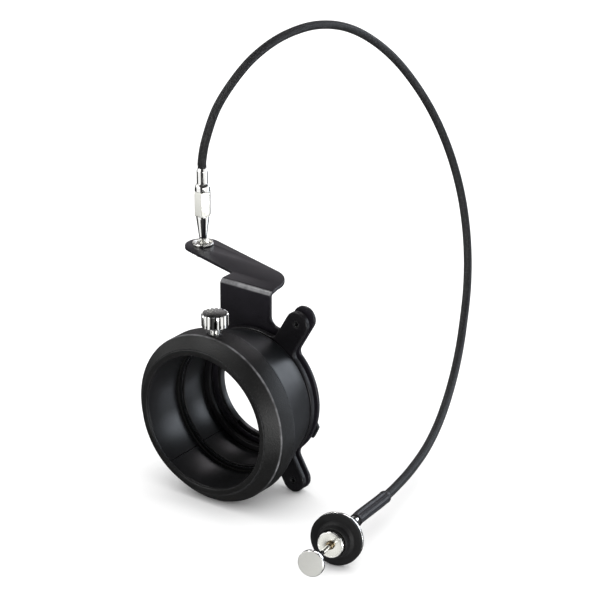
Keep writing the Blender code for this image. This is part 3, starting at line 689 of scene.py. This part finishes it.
def cut(mesh, *cutters):
    """The mesh with the cutters' meshes taken out of it."""
    body = linked("cut", mesh)
    helpers = []
    for cutter in cutters:
        helper = linked("cutter", cutter)
        helpers.append(helper)
        boolean = body.modifiers.new("Cut", "BOOLEAN")
        boolean.operation = "DIFFERENCE"
        boolean.solver = "EXACT"
        boolean.object = helper
    graph = bpy.context.evaluated_depsgraph_get()
    result = bpy.data.meshes.new_from_object(body.evaluated_get(graph))
    for thing in (body, *helpers):
        bpy.data.objects.remove(thing)
    return result


def screw_hole(radius, bottom, top):
    """A cylinder on the clamp screw's axis, for cutting a piece that is turned about AXIS."""
    mesh = lathe([(0.0, top), (radius, top), (radius, bottom), (0.0, bottom)], 48)
    upright = Matrix.Rotation(-math.pi / 2, 4, "X")
    mesh.transform(Matrix.Translation((0.0, 0.0, -SCREW_Y)) @ upright)
    return mesh


def block(size, matrix):
    bm = bmesh.new()
    bmesh.ops.create_cube(bm, size=1.0)
    bmesh.ops.scale(bm, vec=Vector(size), verts=bm.verts)
    mesh = to_mesh(bm, "block")
    mesh.transform(matrix)
    return mesh


# ---------------------------------------------------------------- outlines


def ear_points(bearing, hole_r, disc_r, fillet_end=True):
    along = math.sqrt((disc_r + EAR_FILLET) ** 2 - (EAR_R + EAR_FILLET) ** 2)
    foot = math.degrees(math.atan2(EAR_R + EAR_FILLET, along))
    axis = 90.0 - bearing
    turn = Matrix.Rotation(math.radians(axis), 2)
    points = arc((along, -EAR_R - EAR_FILLET), EAR_FILLET, 180.0 - foot, 90.0, 10)
    points += arc((hole_r, 0.0), EAR_R, -90.0, 90.0, 32)
    if fillet_end:
        points += arc((along, EAR_R + EAR_FILLET), EAR_FILLET, 270.0, 180.0 + foot, 10)
    return [tuple(turn @ Vector(point)) for point in points], axis - foot, axis + foot


def ear_center(ear):
    angle = math.radians(90.0 - ear[0])
    return (ear[1] * math.cos(angle), ear[1] * math.sin(angle))


def ear_holes():
    return [circle(EAR_PIN_R + 0.05, 32, ear_center(ear)) for ear in EARS]


def ear_outline(disc_r, top=None, reach=0.0):
    """A disc with its three ears; top, where given, holds the points from ear to left side."""
    bearing, hole_r = UPPER_EAR
    upper, upper_in, upper_out = ear_points(bearing, hole_r + reach, disc_r, top is None)
    right, right_in, right_out = ear_points(*LOWER_EARS[0], disc_r)
    left, left_in, left_out = ear_points(*LOWER_EARS[1], disc_r)
    points = upper[:]
    if top is None:
        points += arc((0.0, 0.0), disc_r, upper_out, left_in + 360.0, 72)[1:-1]
    else:
        between, side_angle = top
        points += between
        points += arc((0.0, 0.0), disc_r, side_angle, left_in + 360.0, 48)[1:-1]
    points += left
    points += arc((0.0, 0.0), disc_r, left_out, right_in, 16)[1:-1]
    points += right
    points += arc((0.0, 0.0), disc_r, right_out, upper_in, 40)[1:-1]
    return points


def bracket_outline(bend_start, bend_length):
    """The bracket's flat pattern and the place of the tip's hole in it."""
    offset = bend_start + bend_length - (PLATE_FRONT_Y + SHEET_T + BEND_R)
    normal = Vector((math.sin(ARM_ANGLE), math.cos(ARM_ANGLE)))
    heading = math.degrees(ARM_ANGLE)

    def y_at(x, distance):
        return TIP_Y + (distance - (x - TIP_X) * normal.x) / normal.y

    corner_x = ARM_RIGHT_X - ARM_CORNER_R
    corner = (corner_x, y_at(corner_x, ARM_HALF_WIDTH - ARM_CORNER_R))
    notch_x = TAB_LEFT_X - ARM_NOTCH_R
    notch = (notch_x, y_at(notch_x, -ARM_HALF_WIDTH - ARM_NOTCH_R))
    arm = arc(corner, ARM_CORNER_R, 0.0, 90.0 - heading, 24)
    arm += arc((TIP_X, TIP_Y), ARM_HALF_WIDTH, 90.0 - heading, 270.0 - heading, 48)
    arm += arc(notch, ARM_NOTCH_R, 90.0 - heading, 0.0, 8)
    fillet_x = TAB_RIGHT_X + TAB_FILLET
    bearing = math.radians(UPPER_EAR[0])
    fillet_z = (fillet_x * math.cos(bearing) + EAR_R + TAB_FILLET) / math.sin(bearing)
    side_x = TAB_LEFT_X - EAR_FILLET
    side_z = math.sqrt((PLATE_R + EAR_FILLET) ** 2 - side_x**2)
    side_angle = math.degrees(math.atan2(side_z, side_x))
    between = arc((fillet_x, fillet_z), TAB_FILLET, -UPPER_EAR[0], -180.0, 20)
    between += [(TAB_RIGHT_X, bend_start + bend_length)]
    between += [(x, y + offset) for x, y in arm]
    between += arc((side_x, side_z), EAR_FILLET, 0.0, side_angle - 180.0, 10)
    outline = ear_outline(PLATE_R, (between, side_angle), PLATE_EAR_REACH)
    return outline, (TIP_X, TIP_Y + offset)


def bend_sheet(mesh, bend_start, bend_length, steps=14):
    """Folds what is above the bend back through a right angle; Y is across the sheet here."""
    bm = bmesh.new()
    bm.from_mesh(mesh)
    for i in range(steps + 1):
        geometry = bm.verts[:] + bm.edges[:] + bm.faces[:]
        height = bend_start + bend_length * i / steps
        bmesh.ops.bisect_plane(
            bm, geom=geometry, dist=1e-4, plane_co=(0.0, 0.0, height), plane_no=(0.0, 0.0, 1.0)
        )
    rear = PLATE_FRONT_Y + SHEET_T
    for vert in bm.verts:
        past = vert.co.z - bend_start
        if past <= 1e-4:
            continue
        radius = BEND_R + rear - vert.co.y
        angle = min(past / bend_length, 1.0) * math.pi / 2
        straight = max(past - bend_length, 0.0)
        vert.co.y = rear + BEND_R - radius * math.cos(angle) + straight
        vert.co.z = bend_start + radius * math.sin(angle)
    bm.to_mesh(mesh)
    bm.free()


# ---------------------------------------------------------------- the ring


def make_shells():
    """The flared front ring and the tapering barrel behind it."""
    front = ring_turned(
        (
            (LIP_R - 0.15, LIP_Y, 0.25), (LIP_R - 0.15, LIP_Y + 0.45, 0.1),
            (LIP_R + 0.25, LIP_Y + 0.45, 0.1), (CREST_R, 0.0, 1.0), (CREST_R, BAND_END_Y, 0.15),
            (SPIGOT_OUT_R + GAP, BAND_END_Y), (SPIGOT_OUT_R + GAP, SPIGOT_Y - GAP),
            (SLEEVE_OUT_R + GAP, SPIGOT_Y - GAP), (SLEEVE_OUT_R + GAP, LIP_Y + 1.3),
            (BORE_R, LIP_Y + 1.3, 0.1), (BORE_R, LIP_Y, 0.5),
        ),
        256,
    )
    add(
        "ring_shell", cut(front, screw_hole(BUSH_R + GAP, 29.0, 45.0)), AXIS, "grained_black",
        "housing", "black_aluminium", "front_ring",
    )
    barrel = ring_turned(
        (
            (SPIGOT_OUT_R, SPIGOT_Y), (SPIGOT_OUT_R, BAND_END_Y + 0.12),
            (CREST_R - 0.08, BAND_END_Y + 0.12, 0.1), (CREST_R - 0.25, BAND_END_Y + 1.0, 3.0),
            (BARREL_REAR_R + 3.6, 19.5, 12.0), (BARREL_REAR_R, BARREL_REAR_Y, 0.3),
            (REAR_SLEEVE_OUT_R + GAP, BARREL_REAR_Y), (REAR_SLEEVE_OUT_R + GAP, STEP_Y),
            (SLEEVE_OUT_R + GAP, STEP_Y), (SLEEVE_OUT_R + GAP, SPIGOT_Y),
        ),
        256,
    )
    add(
        "barrel_shell", cut(barrel, screw_hole(BUSH_R + GAP, 29.0, 45.0)), AXIS, "smooth_black",
        "housing", "black_aluminium", "barrel",
    )


def make_linings():
    """The two split sleeves in the bore, and the seal between them."""
    liner = ring_turned(
        (
            (SLEEVE_OUT_R, LIP_Y + 1.6, 0.1), (SLEEVE_OUT_R, SLEEVE_REAR_Y, 0.1),
            (BORE_R + 0.1, SLEEVE_REAR_Y, 0.3), (BORE_R + 0.1, LIP_Y + 1.6, 0.2),
        ),
        256,
        SPLIT_BEARING + SEAM / 2,
        360.0 - SEAM,
    )
    add(
        "liner", cut(liner, screw_hole(PAD_R + GAP, 27.0, 33.0)), AXIS, "liner_black", "housing",
        "black_anodised", "front_sleeve",
    )
    seal = ring_turned(
        (
            (SLEEVE_OUT_R, 14.9), (SLEEVE_OUT_R, STEP_Y - GAP),
            (REAR_SLEEVE_OUT_R + 1.0, STEP_Y - GAP, 0.3), (REAR_SLEEVE_OUT_R + 1.0, 14.9, 0.3),
        ),
        192,
    )
    add("seal", seal, AXIS, "seal_black", "housing", "black_rubber", "light_seal")
    rear = ring_turned(
        (
            (REAR_SLEEVE_OUT_R, STEP_Y, 0.1), (REAR_SLEEVE_OUT_R, BARREL_REAR_Y - 0.2),
            (REAR_BORE_R, BARREL_REAR_Y - 0.2, 0.1), (REAR_BORE_R, STEP_Y, 0.25),
        ),
        256,
        SPLIT_BEARING + SEAM / 2,
        360.0 - SEAM,
    )
    add("rear_liner", rear, AXIS, "liner_black", "housing", "black_anodised", "rear_sleeve")


def make_clamp_screw():
    bush = ((BUSH_R, 36.3, 0.2), (BUSH_R, 31.1), (2.25, 31.1), (2.25, 36.3, 0.15))
    add("bush", turned(bush, 64), SCREW, "mount_black", "housing", "black_anodised", "screw_bush")
    shank = [(0.0, KNOB_BASE_Z - 0.05), (2.6, KNOB_BASE_Z - 0.05), (2.6, KNOB_BASE_Z - 0.5)]
    shank += [(THREAD_R, KNOB_BASE_Z - 0.9)]
    height = KNOB_BASE_Z - 1.6
    while height > 32.4:
        shank += [(THREAD_R, height), (THREAD_ROOT_R, height - 0.2), (THREAD_R, height - 0.4)]
        height -= THREAD_PITCH
    shank += [(THREAD_R, 32.0), (1.55, 31.5), (0.0, 31.5)]
    add("shank", lathe(shank, 64), SCREW, "chrome", "clamp_screw", "chrome", "clamp_shank")
    pad = ((0.0, 31.2), (PAD_R, 31.2, 0.2), (PAD_R, 28.95, 0.5), (0.0, 28.95))
    pad = turned(pad, 64, closed=False)
    add("pad", pad, SCREW, "nylon", "clamp_feed_pad", "nylon", "pressure_pad")
    outline = []
    for i in range(FLUTES):
        middle = 360.0 * i / FLUTES
        outline += arc((0.0, 0.0), KNOB_R, middle - 4.6, middle + 4.6, 6)
        outline += arc((0.0, 0.0), KNOB_R - 0.7, middle + 8.0, middle + 12.0, 3)
    height = KNOB_TOP_Z - KNOB_BASE_Z
    grip = plate([outline], height, 0.28)
    lift(grip, KNOB_BASE_Z + height / 2)
    add("knob", grip, SCREW, "knob_side", "clamp_screw", "chrome", "clamp_knob")
    cap = (
        (0.0, KNOB_TOP_Z + 0.04), (4.3, KNOB_TOP_Z + 0.04), (4.55, KNOB_TOP_Z - 0.02),
        (4.55, KNOB_TOP_Z - 0.3), (0.0, KNOB_TOP_Z - 0.3),
    )
    add("knob_face", turned(cap, 96, closed=False), SCREW, "knob_top", "clamp_screw", "chrome")


def make_flange():
    loops = [ear_outline(FLANGE_R), circle(FLANGE_HOLE_R, 160), *ear_holes()]
    mesh = plate(loops, FLANGE_T, 0.45)
    lift(mesh, -FLANGE_FRONT_Y - FLANGE_T / 2)
    add("flange", mesh, AXIS, "flange_black", "housing", "black_aluminium", "ear_flange")
    rear = PLATE_FRONT_Y + SHEET_T
    for ear, side in zip(EARS, ("upper", "right", "left")):
        place = AXIS @ Matrix.Translation((*(Vector(ear_center(ear)) * MM), 0.0))
        pin = (
            (EAR_PIN_R, -FLANGE_FRONT_Y - 0.05, 0.12), (EAR_PIN_R, -rear - 0.15, 0.12),
            (EAR_PIN_BORE_R, -rear - 0.15, 0.25), (EAR_PIN_BORE_R, -FLANGE_FRONT_Y - 0.05, 0.3),
        )
        add(
            "pin_" + side, turned(pin, 40), place, "mount_black", "housing", "black_anodised",
            "ear_pin_" + side,
        )
        front = FLANGE_FRONT_Y + FLANGE_T + 0.02
        back = PLATE_FRONT_Y - 0.02
        spacer = (
            (3.2, -front, 0.2), (3.2, -back, 0.2), (EAR_PIN_R + 0.1, -back),
            (EAR_PIN_R + 0.1, -front),
        )
        add(
            "spacer_" + side, turned(spacer, 48), place, "spacer_black", "housing",
            "black_plastic", "ear_spacer_" + side,
        )


def make_bracket():
    bend_start = ARM_TOP_Z - SHEET_T - BEND_R
    bend_length = (BEND_R + SHEET_T / 2) * math.pi / 2
    outline, tip = bracket_outline(bend_start, bend_length)
    loops = [outline, circle(PLATE_HOLE_R, 160), circle(3.3, 48, tip), *ear_holes()]
    mesh = plate(loops, SHEET_T, 0.3)
    mesh.transform(
        Matrix.Translation((0.0, PLATE_FRONT_Y + SHEET_T / 2, 0.0))
        @ Matrix.Rotation(math.pi / 2, 4, "X")
    )
    bend_sheet(mesh, bend_start, bend_length)
    add("bracket", mesh, RING, "sheet_black", "housing", "black_enamel", "bracket_plate")


def make_bayonet():
    mount = ring_turned(
        (
            (21.9, 33.9, 0.1), (21.9, 36.0), (24.0, 36.0, 0.15), (24.0, 38.5, 0.25),
            (22.6, 38.5, 0.2), (22.6, 36.9), (APERTURE_R, 36.9, 0.15), (APERTURE_R, 33.9, 0.15),
        ),
        192,
    )
    slots = []
    for bearing in (75.0, 195.0, 315.0):
        angle = math.radians(bearing)
        matrix = Matrix.Translation((21.5 * math.sin(angle), 21.5 * math.cos(angle), -33.6))
        slots.append(block((14.0, 6.0, 3.0), matrix @ Matrix.Rotation(-angle, 4, "Z")))
    add(
        "mount", cut(mount, *slots), AXIS, "mount_black", "housing", "black_anodised",
        "bayonet_ring",
    )
    retainer = ring_turned(
        ((26.4, 37.8, 0.1), (26.4, 38.5, 0.25), (24.25, 38.5, 0.15), (24.25, 37.8)), 160
    )
    add("retainer", retainer, AXIS, "mount_black", "housing", "black_anodised", "retaining_ring")
    middle = 90.0 - 115.0
    outline = arc((0.0, 0.0), 27.6, middle + 9.0, middle + 351.0, 160)
    outline += arc((0.0, 0.0), 29.8, middle - 6.5, middle + 5.0, 12)
    mesh = plate([outline, circle(24.4, 160)], 1.4, 0.25)
    lift(mesh, -LOCK_Y)
    add("lever_ring", mesh, AXIS, "smooth_black", "lock_ring", "black_enamel", "lock_ring")


# ---------------------------------------------------------------- the release's tip


def make_tip():
    top = ARM_TOP_Z
    bushing = (
        (4.6, top + 1.3, 0.5), (4.6, top + 0.02, 0.1), (3.0, top + 0.02), (3.0, top - 5.0, 0.2),
        (1.75, top - 5.0, 0.2), (1.75, top + 0.15, 0.1), (3.5, top + 0.3, 0.5),
        (3.8, top + 1.3, 0.3),
    )
    add("bushing", turned(bushing, 96), TIP, "bushing_steel", "housing", "chrome", "arm_bushing")
    nut_top = top - SHEET_T - 0.02
    nut = plate([hexagon(5.4, 0.4), circle(3.1, 48)], 1.9, 0.25)
    lift(nut, nut_top - 0.95)
    add("nut", nut, TIP, "chrome", "housing", "chrome", "bushing_nut")
    nose = (
        (2.85, 58.35, 0.1), (2.8, 57.2, 0.5), (1.42, 46.6, 0.3), (1.42, 40.4, 0.3), (0.85, 40.4),
        (0.85, 58.35),
    )
    add("nose", turned(nose, 72), TIP, "chrome", "tip_screw", "chrome", "tip_nose")
    collar = plate([hexagon(3.72, 0.35), circle(1.0, 32)], 11.0, 0.35)
    lift(collar, 63.9)
    add("collar", collar, TIP, "satin_facet", "tip_screw", "satin_steel", "tip_collar")
    shoulder = (
        (2.45, 72.85, 0.2), (3.25, 71.6, 1.2), (3.3, 69.5, 0.1), (1.0, 69.5), (1.0, 72.85),
    )
    add("shoulder", turned(shoulder, 72), TIP, "chrome", "housing", "chrome", "tip_shoulder")
    ferrule = (
        (1.95, FERRULE_TOP_Z, 0.15), (2.4, FERRULE_TOP_Z - 1.3, 0.4), (2.4, 72.9, 0.1),
        (1.0, 72.9), (1.0, FERRULE_TOP_Z),
    )
    add("ferrule", turned(ferrule, 72), TIP, "chrome", "housing", "chrome", "tip_ferrule")
    pin = ((0.0, 62.0), (0.55, 62.0), (0.55, 40.9, 0.2), (0.0, 40.9))
    pin = turned(pin, 32, closed=False)
    add("pin", pin, TIP, "steel_wire", "push_pin", "spring_steel", "tip_pin")


# ---------------------------------------------------------------- the cable


def catmull_rom(points, spacing):
    knots = [Vector(point) for point in points]
    ends = [knots[0] * 2 - knots[1], *knots, knots[-1] * 2 - knots[-2]]
    fine = []
    for i in range(len(knots) - 1):
        a, b, c, d = ends[i : i + 4]
        for k in range(40):
            t = k / 40
            fine.append(
                0.5
                * (
                    2 * b
                    + (c - a) * t
                    + (2 * a - 5 * b + 4 * c - d) * t * t
                    + (3 * b - a - 3 * c + d) * t**3
                )
            )
    fine.append(knots[-1])
    return spaced(fine, spacing)


def spaced(points, spacing):
    lengths = [0.0]
    for a, b in zip(points, points[1:]):
        lengths.append(lengths[-1] + (b - a).length)
    count = max(2, round(lengths[-1] / spacing))
    result = []
    index = 0
    for i in range(count + 1):
        target = lengths[-1] * i / count
        while index < len(points) - 2 and lengths[index + 1] < target:
            index += 1
        span = max(lengths[index + 1] - lengths[index], 1e-9)
        result.append(points[index].lerp(points[index + 1], (target - lengths[index]) / span))
    return result


def frames_along(points):
    """A tangent and two steady cross axes at each point."""
    tangents = []
    for i in range(len(points)):
        ahead = points[min(i + 1, len(points) - 1)]
        behind = points[max(i - 1, 0)]
        tangents.append((ahead - behind).normalized())
    side = tangents[0].cross(Vector((1.0, 0.0, 0.0))).normalized()
    result = []
    for tangent in tangents:
        side = (side - tangent * side.dot(tangent)).normalized()
        result.append((tangent, side, tangent.cross(side)))
    return result


def swept(points, radius_at, sides):
    """A closed tube along points; radius_at(distance, angle) is in millimetres. UV V is in mm."""
    bm = bmesh.new()
    uv_layer = bm.loops.layers.uv.new("UVMap")
    rings = []
    travelled = [0.0]
    for a, b in zip(points, points[1:]):
        travelled.append(travelled[-1] + (b - a).length)
    for point, distance, (_, side, other) in zip(points, travelled, frames_along(points)):
        ring = []
        for k in range(sides):
            angle = 2.0 * math.pi * k / sides
            radius = radius_at(distance, angle)
            ring.append(
                bm.verts.new(point + (side * math.cos(angle) + other * math.sin(angle)) * radius)
            )
        rings.append(ring)
    for i in range(len(rings) - 1):
        for k in range(sides):
            n = (k + 1) % sides
            face = bm.faces.new((rings[i][k], rings[i][n], rings[i + 1][n], rings[i + 1][k]))
            coordinates = (
                (k / sides, travelled[i]), ((k + 1) / sides, travelled[i]),
                ((k + 1) / sides, travelled[i + 1]), (k / sides, travelled[i + 1]),
            )
            for loop, uv in zip(face.loops, coordinates):
                loop[uv_layer].uv = uv
    bm.faces.new(rings[0])
    bm.faces.new(list(reversed(rings[-1])))
    bmesh.ops.recalc_face_normals(bm, faces=bm.faces)
    return to_mesh(bm, "swept")


def cable_line():
    """The whole route from the ferrule to the plunger's neck, in the frame, in millimetres."""
    to_object = Matrix.Translation(-ORIGIN_SHIFT) @ Matrix.Scale(1000.0, 4) @ TIP
    top = to_object @ Vector((0.0, 0.0, (FERRULE_TOP_Z + GAP) * MM))
    up = (to_object @ Vector((0.0, 0.0, (FERRULE_TOP_Z + 6.0) * MM)) - top).normalized()
    axis = PLUNGER.to_3x3().col[2].normalized()
    disc = PLUNGER.to_translation() * 1000.0 - ORIGIN_SHIFT
    end = disc + axis * (NECK_END - GAP)
    route = [top, top + up * 3.0]
    route += [Vector(point) for point in CABLE_ROUTE]
    route += [end - axis * 6.0, end]
    return [p + ORIGIN_SHIFT for p in catmull_rom(route, 0.5)]


def make_cable(plunger_pieces):
    line = cable_line()
    count = round(RELIEF_LENGTH / 0.5)
    sheath_line = spaced(line[:-1], 1.5)
    sheath = swept(sheath_line, lambda distance, angle: SHEATH_R, 24)
    cable = add(
        "cable", sheath, Matrix.Identity(4), "braid", "housing", "woven_sheath", "cable_sheath"
    )
    relief_line = spaced(line[-count - 1 :], 0.5)

    def relief_radius(distance, angle):
        rib = 0.5 + 0.5 * math.cos(angle * 10.0)
        swell = min(1.0, max(0.0, (distance - 0.2) / 1.6))
        base = SHEATH_R + 0.08 + (RELIEF_R - SHEATH_R - 0.08) * (swell**0.6)
        depth = 0.42 * min(1.0, max(0.0, (distance - 2.2) / 1.5))
        depth *= min(1.0, max(0.0, (RELIEF_LENGTH - 0.8 - distance) / 1.0))
        return base - depth * (1.0 - rib)

    relief = swept(relief_line, relief_radius, 60)
    boot = add(
        "boot", relief, Matrix.Identity(4), "boot_black", "housing", "black_rubber",
        "strain_relief",
    )
    path = [tuple(point * MM) for point in sheath_line]
    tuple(path[0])


# ---------------------------------------------------------------- the plunger


def finger_disc():
    """The finger disc and its bright backing."""
    disc = turned(
        (
            (DISC_R, -0.05, 0.35), (DISC_R, -1.5, 0.3), (BARREL_R + 0.25, -1.5),
            (BARREL_R + 0.25, 4.0, 0.15), (BARREL_R + 0.9, 4.0, 0.3), (BARREL_R + 1.1, 1.0, 0.5),
            (BARREL_R + 2.2, -0.05, 1.0),
        ),
        160,
    )
    yield add("disc", disc, PLUNGER, "disc_black", "finger_disc", "black_plastic", "finger_disc")
    backing = turned(
        (
            (DISC_R, -1.55, 0.1), (DISC_R, -3.0, 0.9), (DISC_R - 1.0, -3.4, 0.8),
            (BARREL_R + 0.3, -3.4, 0.2), (BARREL_R + 0.3, -1.55),
        ),
        160,
    )
    yield add(
        "backing", backing, PLUNGER, "chrome_turned", "finger_disc", "chrome", "disc_backing"
    )


def plunger_body():
    """The fixed barrel, its rim, the neck that holds the cable and the rod's guide."""
    barrel = turned(
        (
            (BARREL_R - 0.2, BARREL_END, 0.08), (BARREL_R, BARREL_END - 0.25, 0.1),
            (BARREL_R, -9.8, 0.8), (BARREL_R - 1.0, -11.0, 0.4), (3.3, -11.0), (3.3, 4.2),
            (1.6, 4.2), (1.6, BARREL_END, 0.2),
        ),
        96,
    )
    yield add(
        "barrel_end", barrel, PLUNGER, "barrel_face", "housing", "satin_steel", "plunger_barrel"
    )
    rim = turned(
        (
            (BARREL_R - 0.3, BARREL_END + 0.05, 0.08), (BARREL_R + 0.03, BARREL_END - 0.25, 0.15),
            (BARREL_R + 0.03, BARREL_END - 1.3, 0.03), (BARREL_R - 0.2, BARREL_END - 1.3),
            (BARREL_R - 0.5, BARREL_END - 0.1), (BARREL_R - 0.5, BARREL_END + 0.05, 0.03),
        ),
        96,
    )
    yield add("barrel_rim", rim, PLUNGER, "chrome", "housing", "satin_steel")
    neck = turned(
        (
            (3.0, -9.0), (3.0, -11.05), (4.0, -11.05, 0.3), (4.0, -14.5, 1.5), (2.7, -18.0, 1.5),
            (2.4, NECK_END, 0.2), (0.8, NECK_END), (0.8, -9.0),
        ),
        96,
    )
    yield add("neck", neck, PLUNGER, "chrome", "housing", "chrome", "plunger_neck")
    guide = turned(((1.45, 7.4, 0.25), (1.45, 4.6), (1.05, 4.6), (1.05, 7.4, 0.1)), 48)
    yield add("guide", guide, PLUNGER, "brass", "housing", "brass", "rod_guide")


def rod_and_button():
    """What moves in with the press."""
    back = BUTTON_FACE - BUTTON_T
    rod = turned(
        (
            (0.0, back - 0.02), (1.5, back - 0.02, 0.1), (1.3, back - 0.6, 0.2),
            (0.95, back - 1.1, 0.3), (0.95, 3.8), (2.6, 3.8, 0.2), (2.6, 2.4, 0.2), (0.6, 2.4),
            (0.6, -12.8, 0.2), (0.0, -12.8),
        ),
        48,
        closed=False,
    )
    yield add("rod", rod, PLUNGER, "chrome", "plunger", "chrome", "plunger_rod")
    button = turned(
        (
            (0.0, BUTTON_FACE - 0.12), (BUTTON_R - 1.2, BUTTON_FACE - 0.03, 6.0),
            (BUTTON_R - 0.35, BUTTON_FACE - 0.02, 0.1), (BUTTON_R - 0.2, BUTTON_FACE, 0.1),
            (BUTTON_R, BUTTON_FACE - 0.25, 0.2), (BUTTON_R, back + 0.35, 0.3),
            (BUTTON_R - 0.5, back, 0.2), (0.0, back),
        ),
        128,
        closed=False,
    )
    yield add("button", button, PLUNGER, "satin", "plunger", "satin_steel", "plunger_button")
    edge = turned(
        (
            (BUTTON_R - 0.3, BUTTON_FACE + 0.02, 0.1), (BUTTON_R + 0.04, BUTTON_FACE - 0.25, 0.2),
            (BUTTON_R + 0.04, back + 0.35, 0.3), (BUTTON_R - 0.5, back - 0.03, 0.2),
            (BUTTON_R - 0.9, back - 0.03), (BUTTON_R - 0.3, back + 0.4),
        ),
        128,
    )
    yield add("button_edge", edge, PLUNGER, "chrome", "plunger", "satin_steel")


def return_spring():
    """The coil between the piston and the neck, built at rest with a mesh of its own; the real one
    shortens as the button goes in.
    """
    count = SPRING_TURNS * 20
    points = []
    for i in range(count + 1):
        angle = 2.0 * math.pi * i / 20
        height = SPRING_TOP + (SPRING_BOTTOM - SPRING_TOP) * i / count
        points.append(Vector((SPRING_R * math.cos(angle), SPRING_R * math.sin(angle), height)))
    mesh = swept(points, lambda distance, angle: SPRING_WIRE_R, 10)
    spring = add("spring", mesh, PLUNGER, "steel_wire", "housing", "spring_steel", "return_spring")
    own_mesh(spring)
    return spring


def make_plunger():
    return [*finger_disc(), *plunger_body(), *rod_and_button(), return_spring()]


# ---------------------------------------------------------------- the set


def make_camera():
    camera = bpy.data.cameras.new("camera")
    camera.lens = CAMERA_LENS
    camera.sensor_width = 36.0
    camera.clip_end = 50.0
    holder = linked("camera", camera)
    aim = Vector(CAMERA_TOWARDS).to_track_quat("-Z", "Y").to_matrix().to_4x4()
    holder.matrix_world = (
        Matrix.Translation(CAMERA_AT) @ aim @ Matrix.Rotation(CAMERA_ROLL, 4, "Z")
    )
    bpy.context.scene.camera = holder


def make_softbox(name, location, size, radiance, receivers, tint):
    """A rectangular light; radiance is its brightness, whatever its size."""
    light = bpy.data.lights.new(name, "AREA")
    light.shape = "RECTANGLE"
    light.size, light.size_y = size
    light.energy = radiance * math.pi * size[0] * size[1]
    light.color = tint
    holder = linked(name, light)
    holder.location = location
    towards = Vector(LIGHT_AIM[receivers]) - Vector(location)
    holder.rotation_euler = towards.to_track_quat("-Z", "Y").to_euler()
    holder.visible_camera = False
    holder.light_linking.receiver_collection = LINKS[receivers]


def make_floor():
    bm = bmesh.new()
    bmesh.ops.create_grid(bm, x_segments=2, y_segments=2, size=FLOOR_HALF)
    mesh = to_mesh(bm, "floor")
    mesh.materials.append(MATERIALS["floor"])
    floor = linked("floor", mesh)
    floor.location = (0.0, 0.0, CAD_BOUNDS[0][2] - 0.0002)
    floor.visible_glossy = False
    floor.visible_shadow = False
    return floor


def link_receivers(floor):
    """Which pieces each light falls on: the floor, the whole object, its metal or its satin."""
    for name in ("floor", "object", "metal", "satin"):
        LINKS[name] = bpy.data.collections.new("lit_" + name)
    LINKS["floor"].objects.link(floor)
    LINKS["object"].objects.link(floor)
    LINKS["object"].collection_objects[0].light_linking.link_state = "EXCLUDE"
    for obj in bpy.context.scene.objects:
        finish = obj.data.materials[0] if obj.type == "MESH" and obj.data.materials else None
        if finish in [MATERIALS[name] for name in BRIGHT_FINISHES + SATIN_FINISHES]:
            LINKS["metal"].objects.link(obj)
        if finish in [MATERIALS[name] for name in SATIN_FINISHES]:
            LINKS["satin"].objects.link(obj)


def make_world():
    world = bpy.data.worlds.new("studio")
    world.use_nodes = True
    background = world.node_tree.nodes["Background"]
    background.inputs["Color"].default_value = (1.0, 1.0, 1.0, 1.0)
    background.inputs["Strength"].default_value = WORLD_STRENGTH
    bpy.context.scene.world = world


def make_set():
    link_receivers(make_floor())
    make_world()
    wash = bpy.data.lights.new("wash", "SUN")
    wash.energy = WASH_STRENGTH
    wash.angle = WASH_SPREAD
    holder = linked("wash", wash)
    holder.light_linking.receiver_collection = LINKS["floor"]
    for light in LIGHTS:
        make_softbox(*light)
    bpy.context.scene.view_settings.view_transform = "Standard"


make_camera()
make_cable(make_plunger())
make_shells()
make_linings()
make_clamp_screw()
make_flange()
make_bracket()
make_bayonet()
make_tip()
make_set()
